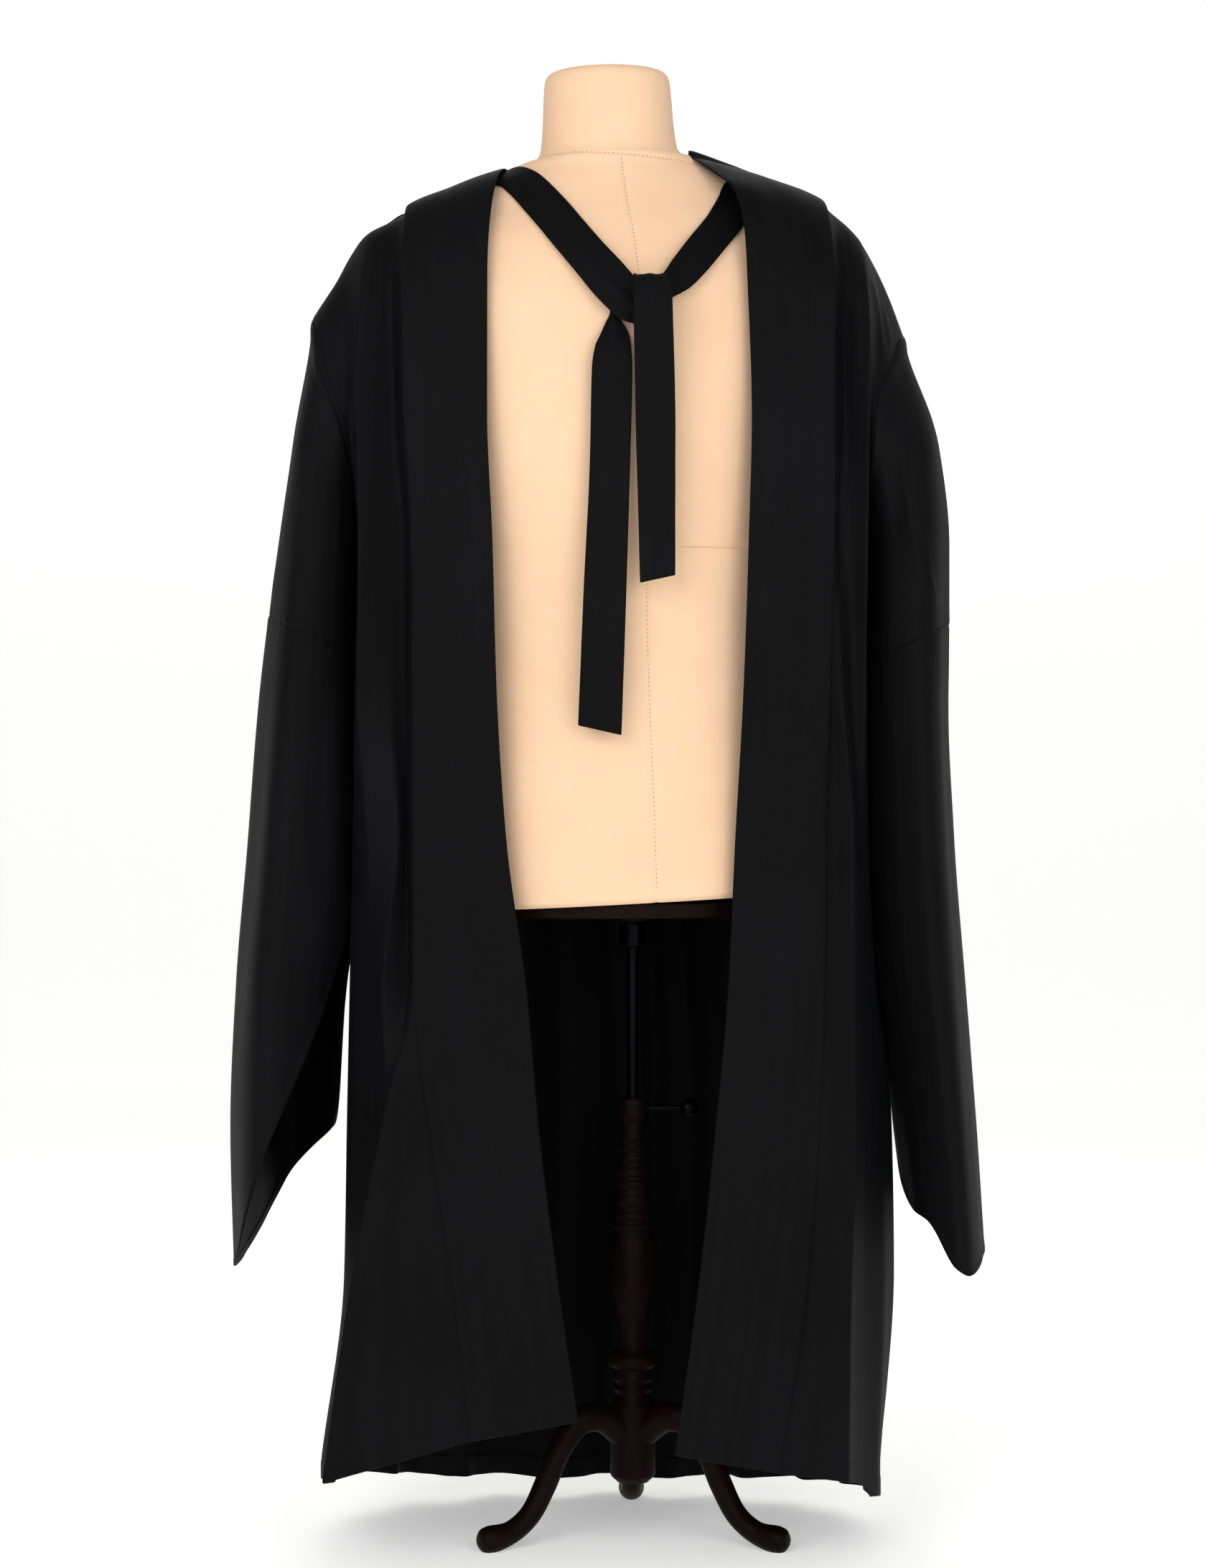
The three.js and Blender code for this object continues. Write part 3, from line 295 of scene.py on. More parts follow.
# Blackened mild steel, drawn and rubbed by the clamp: dark metal with fine scratches round it. Its colours sit near
# black, partly the blackening and partly painted shade for its place in the shadow under the gown.
def makeSteel(user):
    made, tree, shader = newMaterial("blackenedSteelPartlyPaintedShade", {"Metallic": 1.0, "Roughness": 0.35})
    place = addNode(tree, "ShaderNodeTexCoord")
    squash = addNode(tree, "ShaderNodeMapping", {"Scale": (0.08, 0.08, 1.0)},
                     {"Vector": place.outputs["Object"]})
    scratches = addNode(tree, "ShaderNodeTexNoise", {"Scale": 1000 / user["scratchGap"], "Detail": 3.0},
                        {"Vector": squash.outputs["Vector"]})
    colour = addNode(tree, "ShaderNodeMix", {
        "data_type": "RGBA", 6: linearColour(user["dark"]), 7: linearColour(user["bright"]),
    }, {0: scratches.outputs["Fac"]})
    tree.links.new(colour.outputs[2], shader.inputs["Base Color"])
    rough = addNode(tree, "ShaderNodeMapRange", {"To Min": 0.28, "To Max": 0.46},
                    {"Value": scratches.outputs["Fac"]})
    tree.links.new(rough.outputs["Result"], shader.inputs["Roughness"])
    return made


clothMaterial = makeGownCloth(gownCloth)
blackThread = makeThread("blackSpunThread", threadInfo["black"])
creamThread = makeThread("creamSpunThread", threadInfo["cream"])
jerseyMaterial = makeJersey(formJersey)
woodMaterial = makeWood(turnedWoodWithPaintedShade)
steelMaterial = makeSteel(standSteelWithPaintedShade)
print("materials ready")

# Curves and grids, on numpy arrays


def mix(a, b, share):
    return a + (b - a) * share


def smoothStep(low, high, value):
    t = np.clip((np.asarray(value, float) - low) / (high - low), 0, 1)
    return t * t * (3 - 2 * t)


def unit(vectors):
    return vectors / np.maximum(np.linalg.norm(vectors, axis=-1, keepdims=True), 1e-9)


def table(columns, rows):
    return [dict(zip(columns.split(), row)) for row in rows]


def track(points, at, column, item=None):  # a smooth curve through a table's points, read at any place
    rows = sorted(points, key=lambda row: row[at])
    xs = np.array([row[at] for row in rows], float)
    ys = np.array([row[column] if item is None else row[column][item] for row in rows], float)
    steps = np.diff(ys) / np.diff(xs)
    slopes = np.concatenate([steps[:1], steps[:-1], steps[-1:]])[:len(xs)].copy()
    slopes[-1] = steps[-1]
    for i in range(1, len(xs) - 1):
        before, after = steps[i - 1], steps[i]
        slopes[i] = 0 if before * after <= 0 else 2 * before * after / (before + after)

    def read(x):
        x = np.clip(np.asarray(x, float), xs[0], xs[-1])
        i = np.clip(np.searchsorted(xs, x, side="right") - 1, 0, len(xs) - 2)
        width = xs[i + 1] - xs[i]
        t = (x - xs[i]) / width
        bend = slopes[i] * t * (1 - t) ** 2 - slopes[i + 1] * t * t * (1 - t)
        return mix(ys[i], ys[i + 1], t * t * (3 - 2 * t)) + width * bend

    return read


def throughPoints(points, shares):  # centripetal curve through points (rows, points, 3), read at shares
    points = np.asarray(points, float)
    count = points.shape[1]
    first = 2 * points[:, :1] - points[:, 1:2]
    last = 2 * points[:, -1:] - points[:, -2:-1]
    all4 = np.concatenate([first, points, last], 1)
    place = np.clip(np.asarray(shares, float) * (count - 1), 0, count - 1 - 1e-9)
    i = place.astype(int)
    t = (place - i)[None, :, None]
    p = [all4[:, i + k] for k in range(4)]
    gap = [np.maximum(np.linalg.norm(p[k + 1] - p[k], axis=-1, keepdims=True), 1e-6) ** 0.5 for k in range(3)]
    leave = (p[1] - p[0]) / gap[0] - (p[2] - p[0]) / (gap[0] + gap[1]) + (p[2] - p[1]) / gap[1]
    arrive = (p[2] - p[1]) / gap[1] - (p[3] - p[1]) / (gap[1] + gap[2]) + (p[3] - p[2]) / gap[2]
    leave, arrive = leave * gap[1], arrive * gap[1]
    square = -3 * p[1] + 3 * p[2] - 2 * leave - arrive
    cube = 2 * p[1] - 2 * p[2] + leave + arrive
    return p[1] + leave * t + square * t ** 2 + cube * t ** 3


def arcLengths(path):
    steps = np.linalg.norm(np.diff(path, axis=0), axis=-1)
    return np.concatenate([[0], np.cumsum(steps)])


def evenly(path, gap):  # points at even distances along a path, and their directions
    along = arcLengths(path)
    places = np.arange(gap / 2, along[-1], gap)
    spots = np.stack([np.interp(places, along, path[:, k]) for k in range(3)], -1)
    ahead = np.stack([np.interp(places + 0.2, along, path[:, k]) for k in range(3)], -1)
    behind = np.stack([np.interp(places - 0.2, along, path[:, k]) for k in range(3)], -1)
    return spots, unit(ahead - behind)


def creaseRelief(grid, creases):  # ridges (deep > 0) and valleys along lines given as seen from the front
    total = np.zeros(grid.shape[:-1])
    flat = grid[..., [0, 2]]
    for crease in creases:
        path = np.array(crease["path"], float)
        along = arcLengths(path)
        near = np.full(total.shape, 1e9)
        share = np.zeros(total.shape)
        for i in range(len(path) - 1):
            leg = path[i + 1] - path[i]
            t = np.clip(((flat - path[i]) @ leg) / (leg @ leg), 0, 1)
            away = np.linalg.norm(flat - path[i] - t[..., None] * leg, axis=-1)
            closer = away < near
            near = np.where(closer, away, near)
            share = np.where(closer, (along[i] + t * (along[i + 1] - along[i])) / along[-1], share)
        fade = np.clip(np.minimum(share, 1 - share) * 6, 0, 1) if crease.get("fades", True) else 1
        total += crease["deep"] * fade * np.exp(-((near / crease["wide"]) ** 2))
    return total


def softWaves(grid, size, start):  # the slight unevenness of hanging cloth
    x, y, z = grid[..., 0], grid[..., 1], grid[..., 2]
    around = x + 0.8 * y
    return size * (
        np.sin(around / 17 + z / 210 + start)
        + 0.7 * np.sin(around / 9.5 - z / 330 + 2.1 * start)
        + 0.5 * np.sin(z / 61 + around / 40 + 3.3 * start)
    )


def gridNormals(grid, loop, middle):
    across = np.roll(grid, -1, 1) - np.roll(grid, 1, 1) if loop else np.gradient(grid, axis=1)
    normals = unit(np.cross(across, np.gradient(grid, axis=0)))
    away = grid - (grid.mean(1, keepdims=True) if middle is None else np.array(middle, float))
    return normals if (normals * away)[..., :2].sum() > 0 else -normals


# Meshes


def finishMesh(name, verts, faces, material, body, replaced=(), uvs=None):
    mesh = bpy.data.meshes.new(name)
    verts = (np.asarray(verts, float) + np.array([0, centring, 0])) / 1000
    mesh.from_pydata(verts.tolist(), [], [list(map(int, face)) for face in faces])
    if uvs is not None:
        layer = mesh.uv_layers.new(name="cloth")
        layer.data.foreach_set("uv", np.asarray(uvs, np.float32).ravel())
    work = bmesh.new()
    work.from_mesh(mesh)
    bmesh.ops.recalc_face_normals(work, faces=work.faces)
    work.to_mesh(mesh)
    work.free()
    mesh.polygons.foreach_set("use_smooth", [True] * len(mesh.polygons))
    mesh.materials.append(material)
    made = bpy.data.objects.new(name, mesh)
    bpy.context.scene.collection.objects.link(made)
    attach(made, body)
    if replaced:
        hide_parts(*replaced)
    return made


# A sheet of cloth with two skins and rounded edges. relief raises the outer skin and hemDepth thickens
# the wall to the inside, both in millimetres for each point of the grid.
def clothWallMesh(name, grid, thick, loop=False, middle=(0, 0, 0), relief=0, hemDepth=0, replaced=()):
    normals = gridNormals(grid, loop, middle)
    down, across = grid.shape[:2]
    outer = grid + normals * (thick / 2 + np.asarray(relief, float))[..., None]
    inner = grid - normals * (thick / 2 + np.asarray(hemDepth, float))[..., None]
    cells = across if loop else across - 1
    ids = np.arange(down * across).reshape(down, across)
    verts = [outer.reshape(-1, 3), inner.reshape(-1, 3)]
    skin = down * across
    closed = np.concatenate([grid, grid[:, :1]], 1) if loop else grid
    uAlong = np.concatenate([np.zeros((down, 1)), np.cumsum(
        np.linalg.norm(np.diff(closed, axis=1), axis=-1), 1)], 1)
    vAlong = np.concatenate([np.zeros((1, closed.shape[1])), np.cumsum(
        np.linalg.norm(np.diff(closed, axis=0), axis=-1), 0)], 0)
    uv = np.stack([uAlong.mean(0, keepdims=True).repeat(down, 0) + 0.0 * vAlong, vAlong], -1) / 1000
    faces, uvs = [], []
    for j in range(down - 1):
        for i in range(cells):
            k = (i + 1) % across
            quad = (ids[j, i], ids[j, k], ids[j + 1, k], ids[j + 1, i])
            corners = (uv[j, i], uv[j, i + 1], uv[j + 1, i + 1], uv[j + 1, i])
            faces.append(quad)
            uvs.extend(corners)
            faces.append(tuple(skin + spot for spot in reversed(quad)))
            uvs.extend(reversed(corners))
    if loop:
        rims = [([ids[j, i] for i in range(across)], 1 if j else -1, j) for j in (0, down - 1)]
    else:
        around = list(ids[0, :]) + list(ids[1:, -1]) + list(ids[-1, -2::-1]) + list(ids[-2:0:-1, 0])
        rims = [(around, 0, None)]
    count = 2 * skin
    for ring, way, row in rims:
        spots = np.array([grid.reshape(-1, 3)[i] for i in ring])
        normal = np.array([normals.reshape(-1, 3)[i] for i in ring])
        if loop:
            outward = unit(grid[row] - grid[row - way])
        else:
            outward = unit(np.cross(np.roll(spots, -1, 0) - np.roll(spots, 1, 0), normal))
            if (outward * (spots - spots.mean(0))).sum() < 0:
                outward = -outward
        centre = (outer.reshape(-1, 3)[ring] + inner.reshape(-1, 3)[ring]) / 2
        verts.append(centre + outward * thick * 0.45)
        for i in range(len(ring)):
            k = (i + 1) % len(ring)
            faces.append((ring[i], ring[k], count + k, count + i))
            faces.append((count + i, count + k, skin + ring[k], skin + ring[i]))
            spot = uv[divmod(ring[i], across)] if not loop else uv[row, i]
            uvs.extend([spot] * 8)
        count += len(ring)
    made = finishMesh(name, np.concatenate(verts), faces, clothMaterial, gownBody, replaced, uvs)
    return made, outer, normals


stitchInfo = {"long": 2.6, "thick": 0.34, "gap": 3.6}
stitchRings = [(-0.5, 0.3), (-0.25, 1.0), (0.25, 1.0), (0.5, 0.3)]  # (share of the length, share of the thickness)


# A row of sewing stitches along a path that lies on the cloth's outer skin: each a small five-sided spindle
def stitchLine(name, path, normals, thread, user=stitchInfo):
    along = arcLengths(path)
    spots, ahead = evenly(path, user["gap"])
    places = np.arange(user["gap"] / 2, along[-1], user["gap"])
    up = unit(np.stack([np.interp(places, along, normals[:, k]) for k in range(3)], -1))
    side = unit(np.cross(ahead, up))
    verts, faces = [], []
    sides = 5
    for spot, a, u, s in zip(spots, ahead, up, side):
        base = len(verts)
        for share, size in stitchRings:
            for i in range(sides):
                angle = 2 * math.pi * i / sides
                reach = user["thick"] * size
                centre = spot + a * share * user["long"]
                verts.append(centre + u * reach * math.sin(angle) + s * reach * math.cos(angle))
        for r in range(len(stitchRings) - 1):
            for i in range(sides):
                k = (i + 1) % sides
                low, high = base + r * sides, base + (r + 1) * sides
                faces.append((low + i, low + k, high + k, high + i))
        faces.append(tuple(base + i for i in range(sides)))
        faces.append(tuple(base + (len(stitchRings) - 1) * sides + i for i in range(sides)))
    finishMesh(name, verts, faces, thread, gownBody)


# Gown: the shapes of the part's own walls, read more finely

clothWall, seamGap = 1.6, 0.3
seamLow, seamHigh = 540, 620  # below these heights the front lies beside the band, above them under it
shoulderDrop, roundShare = 120, 0.2  # the cloth turns over the shoulder within this fall and share of its rows
armholeShare = 0.32  # share of a panel's side that follows the armhole
ridgeSlope = math.tan(math.radians(9))  # the form stands turned by this much, and the gown with it

shoulder = {
    "left": table("x z", [
        (-281, 1177), (-261, 1209), (-247, 1237), (-233, 1257), (-212, 1270), (-171, 1292), (-108, 1321),
        (-92, 1328),
    ]),
    "right": table("x z", [
        (74, 1349), (127, 1335), (194, 1307), (225, 1286), (247, 1266), (264, 1238), (278, 1208), (291, 1172),
    ]),
}
band = {
    "left": table("z inner outer", [
        (1240, (-113, -120), (-195, -112)), (1080, (-113, -130), (-191, -117)),
        (960, (-108, -132), (-184, -120)), (820, (-104, -135), (-183, -123)), (680, (-95, -139), (-182, -128)),
        (540, (-76, -144), (-181, -135)), (400, (-63, -151), (-165, -145)), (260, (-45, -161), (-144, -155)),
        (120, (-24, -171), (-127, -166)),
    ]),
    "right": table("z inner outer", [
        (1240, (132, -94), (217, -82)), (1080, (137, -103), (216, -92)), (960, (134, -106), (215, -96)),
        (820, (129, -109), (211, -99)), (680, (121, -114), (207, -105)), (540, (114, -121), (205, -114)),
        (400, (101, -131), (199, -125)), (260, (85, -145), (187, -139)), (100, (62, -160), (161, -154)),
    ]),
}
bandTop = {"left": {"inner": -97, "outer": -192}, "right": {"inner": 84, "outer": 209}}
bandHem = {"left": {"inner": 141, "outer": 122}, "right": {"inner": 108, "outer": 90}}
collarBack = {"x": 5, "inner": (82, 1340), "outer": (131, 1268)}
front = {
    "left": table("z near mid far corner", [
        (1240, (-203, -100), (-213, -103), (-229, -108), (-246, -96)),
        (1080, (-201, -97), (-213, -105), (-235, -121), (-244, -114)),
        (960, (-191, -99), (-208, -107), (-233, -122), (-237, -84)),
        (820, (-190, -102), (-206, -113), (-234, -124), (-240, -80)),
        (680, (-189, -110), (-196, -127), (-226, -116), (-243, -80)),
        (540, (-188, -122), (-209, -139), (-221, -111), (-246, -79)),
        (400, (-211, -163), (-205, -136), (-216, -117), (-248, -82)),
        (260, (-239, -173), (-229, -143), (-234, -119), (-250, -86)),
        (90, (-262, -174), (-254, -144), (-260, -120), (-271, -90)),
    ]),
    "right": table("z near mid far corner", [
        (1240, (225, -62), (238, -68), (249, -72), (259, -58)),
        (1080, (226, -70), (239, -84), (248, -93), (250, -86)),
        (960, (219, -84), (231, -82), (247, -95), (248, -52)),
        (820, (222, -104), (231, -84), (245, -90), (249, -42)),
        (680, (231, -117), (236, -90), (246, -76), (251, -38)),
        (540, (231, -128), (239, -98), (251, -73), (259, -38)),
        (400, (232, -139), (242, -106), (260, -75), (274, -40)),
        (260, (227, -150), (240, -115), (263, -80), (276, -42)),
        (80, (222, -163), (238, -122), (256, -86), (263, -46)),
    ]),
}
frontTop = {
    "left": {"near": -203, "mid": -213, "far": -228, "corner": -252},
    "right": {"near": 219, "mid": 232, "far": 246, "corner": 267},
}
frontHem = {
    "left": {"near": 85, "mid": 80, "far": 76, "corner": 72, "side": 58},
    "right": {"near": 84, "mid": 74, "far": 58, "corner": 46, "side": 34},
}
sideSeam = {
    "left": table("z x y", [
        (990, -236, -5), (820, -239, -4), (680, -242, -2), (600, -244, -1), (540, -244, 0), (400, -247, 2),
        (260, -252, 4), (40, -272, 6),
    ]),
    "right": table("z x y", [
        (990, 248, 15), (820, 249, 15), (680, 252, 14), (600, 255, 13), (540, 261, 12), (500, 268, 12),
        (440, 274, 11), (260, 276, 8), (150, 272, 7), (90, 266, 6), (30, 257, 6),
    ]),
}
armhole = {
    "left": {"top": 1177, "bottom": 990, "ahead": 89, "behind": 86},
    "right": {"top": 1172, "bottom": 990, "ahead": 112, "behind": 64},
}
armholeX = {
    "left": table("z x", [
        (1177, -281), (1150, -275), (1115, -268), (1085, -256), (1040, -244), (990, -236),
    ]),
    "right": table("z x", [
        (1172, 291), (1135, 271), (1095, 256), (1040, 250), (990, 248),
    ]),
}
backDepth = table("z y", [
    (1240, 128), (1120, 138), (960, 144), (680, 154), (400, 163), (30, 180),
])
backFolds = {"count": 9, "topDepth": 2.5, "hemDepth": 13, "drift": 0.035, "driftTurns": 7, "nearSide": 0.16}
shoulderPart = 0.14
backHem = {"middle": 18, "left": 58, "right": 34}
hemWidth = 17  # from the hem's edge up to its stitches


def rowHeight(top, hem, row):
    turning = top - shoulderDrop * (1 - np.cos(np.minimum(row / roundShare, 1) * math.pi / 2))
    return np.where(row < roundShare, turning, mix(top - shoulderDrop, hem, (row - roundShare) / (1 - roundShare)))


def rowOut(row):
    return np.where(row < roundShare, np.sin(np.clip(row / roundShare, 0, 1) * math.pi / 2), 1.0)


def ridge(name, x):
    x = np.asarray(x, float)
    return np.stack([x, x * ridgeSlope, track(shoulder[name], "x", "z")(x)], -1)


def fallLine(top, x, y, hem, row):
    z = rowHeight(top[2], hem, row)
    out = rowOut(row)
    return np.stack([mix(top[0], x(z), out), mix(top[1], y(z), out), z], -1)


def bandPoints(name, row, across):  # row 0 is the shoulder, 1 the hem, -1 the middle of the back
    row, across = np.atleast_1d(row).astype(float), np.atleast_1d(across).astype(float)
    edges = []
    for edge in ("inner", "outer"):
        top = ridge(name, bandTop[name][edge])
        if edge == "outer":
            top[2] += clothWall + seamGap
        x, y = track(band[name], "z", edge, 0), track(band[name], "z", edge, 1)
        falling = fallLine(top, x, y, bandHem[name][edge], np.maximum(row, 0))
        angle = np.clip(-row, 0, 2) * math.pi / 2
        deep, high = collarBack[edge]
        collar = np.stack([
            mix(collarBack["x"], top[0], np.cos(angle)),
            mix(top[1], deep, np.sin(angle)),
            mix(top[2], high, np.sin(angle) ** 2),
        ], -1)
        edges.append(np.where(row[:, None] >= 0, falling, collar))
    spots = mix(edges[0][:, None], edges[1][:, None], across[None, :, None])
    bulge = 4 * across * (1 - across)
    turned = np.where(row >= 0, rowOut(np.maximum(row, 0)), 0)
    spots[..., 1] -= 2 * bulge[None] * turned[:, None]
    spots[..., 2] += 5 * bulge[None] * (1 - turned)[:, None]
    return spots


def besideBand(name, row):
    row = np.atleast_1d(row).astype(float)
    step = 0.01
    edge = bandPoints(name, row, 1)[:, 0]
    along = bandPoints(name, row + step, 1)[:, 0] - bandPoints(name, row - step, 1)[:, 0]
    over = bandPoints(name, row, 1 + step)[:, 0] - bandPoints(name, row, 1 - step)[:, 0]
    normal = unit(np.cross(along, over)) * (-1 if name == "left" else 1)
    proud = np.where(row < 0, 1, smoothStep(seamLow, seamHigh, edge[:, 2]))[:, None]
    outward = unit(edge - bandPoints(name, row, 2 / 3)[:, 0])
    return edge + outward * mix(0.6, 0.75, proud) - normal * (clothWall + seamGap) * proud, normal, outward


def armholePoints(name, share):
    hole = armhole[name]
    angle = np.asarray(share, float) * 2 * math.pi
    high = (1 + np.cos(angle)) / 2
    z = mix(hole["bottom"], hole["top"], high)
    x = track(armholeX[name], "z", "x")(z)
    middle = mix(sideSeam[name][0]["y"], ridge(name, x)[..., 1], high)
    depth = np.where(np.sin(angle) > 0, hole["ahead"], hole["behind"])
    return np.stack([x, middle - depth * np.sin(angle), z], -1)


def sideLine(name, row, isBack):
    row = np.asarray(row, float)
    share = np.clip(row / armholeShare, 0, 1) / 2
    hole = armholePoints(name, 1 - share if isBack else share)
    z = mix(armhole[name]["bottom"], frontHem[name]["side"], np.clip((row - armholeShare) / (1 - armholeShare), 0, 1))
    seam = np.stack([track(sideSeam[name], "z", "x")(z), track(sideSeam[name], "z", "y")(z), z], -1)
    return np.where((row < armholeShare)[..., None], hole, seam)


def hemmedRows(plain, fall):  # shares of a panel's rows, closer together where it turns and at its hem
    hem = np.array([30, 26, 23, 21, 20, 19, 18.4, 17.8, 17.4, 17, 16.6, 16.2, 15.6, 15, 13, 10, 7, 4, 2, 0.8, 0])
    turning = np.linspace(0, roundShare, 26)
    return np.concatenate([turning, np.linspace(roundShare, 1 - 34 / fall, plain)[1:], 1 - hem / fall])


def hemRelief(row, fall):  # two layers below the stitches, which pull the cloth in
    away = (1 - row) * fall
    layers = 0.45 * (1 - smoothStep(hemWidth - 0.5, hemWidth + 1.5, away))
    thicker = 1.1 * (1 - smoothStep(hemWidth + 1, hemWidth + 3, away))
    return layers - 0.5 * np.exp(-(((away - hemWidth) / 1.0) ** 2)), thicker


def rowAt(grid, rows, row):
    j = np.clip(np.searchsorted(rows, row) - 1, 0, len(rows) - 2)
    t = (row - rows[j]) / (rows[j + 1] - rows[j])
    return mix(grid[j], grid[j + 1], t)


def addHemStitches(name, outer, normals, rows, fall):
    row = 1 - hemWidth / fall
    stitchLine(name, rowAt(outer, rows, row) + 0.1 * rowAt(normals, rows, row), rowAt(normals, rows, row),
               blackThread)


# Front bands: a facing strip from the hem over the shoulder to the middle of the back

bandUser = {
    "wall": 1.3, "collarRows": 46, "plainRows": 130, "columns": 26, "fall": 1290, "waves": 0.45,
    "edgeLift": 4.5,  # the free outer edge of the collar stands up from the shoulder
    "sag": {"left": (0, 0, 0), "right": (4, 38, 20)},  # the inner edge slips inward, forward and down at the neck
    "flat": (0.14, 1.53), "area": 0.141,
}


def addBand(name, user):
    shares = np.linspace(0, 1, user["columns"] - 8)
    edge = np.array([0.004, 0.012, 0.03, 0.055])
    across = np.unique(np.concatenate([shares, edge, 1 - edge]))
    rows = np.concatenate([-np.linspace(1, 0, user["collarRows"])[:-1], hemmedRows(user["plainRows"], user["fall"])])
    grid = bandPoints(name, rows, across)
    grid[..., 2] += user["edgeLift"] * np.exp(-((rows / 0.1) ** 2))[:, None] * smoothStep(0.5, 1, across)[None]
    inward, ahead, down = user["sag"][name]
    loose = (1 - across[None]) ** 2
    grid[..., 0] -= inward * np.exp(-(((rows + 0.05) / 0.1) ** 2))[:, None] * loose
    grid[..., 1] -= ahead * np.exp(-(((rows + 0.01) / 0.1) ** 2))[:, None] * loose
    grid[..., 2] -= down * np.exp(-(((rows - 0.05) / 0.06) ** 2))[:, None] * loose
    relief, thicker = hemRelief(rows, user["fall"])
    fade = smoothStep(-0.2, 0.25, rows)[:, None]
    lift = softWaves(grid, user["waves"], 1.7 if name == "left" else 4.4) * fade
    rolled = -0.5 * np.exp(-((across / 0.012) ** 2)) - 0.5 * np.exp(-(((1 - across) / 0.012) ** 2))
    made, outer, normals = clothWallMesh(
        f"band{name.capitalize()}", grid, user["wall"], relief=relief[:, None] + lift + rolled[None],
        hemDepth=thicker[:, None] - lift + 0 * across, replaced=[f"band_{name}"])
    hanging = rows >= 0
    addHemStitches(f"bandHemStitches{name.capitalize()}", outer[hanging], normals[hanging], rows[hanging],
                   user["fall"])


for side in ("left", "right"):
    addBand(side, bandUser)
print("bands and collar made")

# Front panels: pleated beside the band, hanging from the shoulder in folds

frontUser = {
    "wall": 1.3, "spanColumns": 10, "foldColumns": 4, "plainRows": 118, "fall": 1290, "waves": 0.45, "tuck": 9,
    "flat": (0.35, 1.3), "area": 0.26,
}
# How tightly each line is folded: (height, radius)
frontRound = {
    "left": {
        "near": [(1240, 10), (600, 8), (540, 4), (470, 2), (90, 2)],
        "mid": [(1240, 9), (840, 6), (770, 2.5), (420, 2.5), (340, 8), (90, 10)],
        "far": [(1240, 8), (1150, 2.4), (760, 2.4), (640, 6), (90, 8)],
        "corner": [(1240, 12), (90, 10)],
    },
    "right": {
        "near": [(1240, 8), (860, 6), (740, 2), (80, 2)],
        "mid": [(1240, 6), (80, 9)],
        "far": [(1240, 5), (1150, 2.6), (820, 2.6), (640, 7), (80, 8)],
        "corner": [(1240, 10), (80, 9)],
    },
}
frontCreases = {
    "left": [
        {"path": [(-262, 1178), (-264, 1164), (-266, 1150)], "wide": 3, "deep": 1.2},
        {"path": [(-206, 1240), (-208, 1200), (-208, 1150)], "wide": 4, "deep": -1.2},
        {"path": [(-206, 235), (-209, 160), (-214, 105)], "wide": 9, "deep": 1.4},
        {"path": [(-178, 300), (-170, 200), (-163, 120)], "wide": 12, "deep": 1.1},
    ],
    "right": [
        {"path": [(254, 1222), (260, 1184), (262, 1146), (266, 1130)], "wide": 3, "deep": 1.8},
        {"path": [(266, 1193), (271, 1165), (273, 1148)], "wide": 2.6, "deep": 1.5},
        {"path": [(219, 1262), (220, 1240), (221, 1205)], "wide": 2.6, "deep": -1.4},
        {"path": [(224, 1264), (227, 1240), (229, 1190)], "wide": 3, "deep": 1.4},
        {"path": [(225, 262), (243, 255), (260, 243)], "wide": 2.5, "deep": -0.8},
        {"path": [(196, 330), (190, 220), (181, 110)], "wide": 8, "deep": 1.0},
    ],
}


# Draws a section through its lines, each turned with its own radius, as pressed and hanging folds are
def foldedSection(points, rounds, user):
    spots = [points[:, 0]]
    for i in range(1, points.shape[1] - 1):
        here, before, after = points[:, i], points[:, i - 1], points[:, i + 1]
        back, ahead = here - before, after - here
        lengths = np.minimum(np.linalg.norm(back, axis=-1), np.linalg.norm(ahead, axis=-1))
        reach = np.minimum(rounds[i - 1], 0.42 * lengths)[:, None]
        first, last = here - unit(back) * reach, here + unit(ahead) * reach
        spots += [first, 0.5 * here + 0.25 * (first + last), last]
    spots.append(points[:, -1])
    stack = np.stack(spots, 1)
    shares, count = [], stack.shape[1] - 1
    for k in range(count):
        inSpan = user["spanColumns"] if k % 3 == 0 else user["foldColumns"]
        shares += [(k + i / inSpan) / count for i in range(inSpan)]
    return throughPoints(stack, np.array(shares + [1.0]))


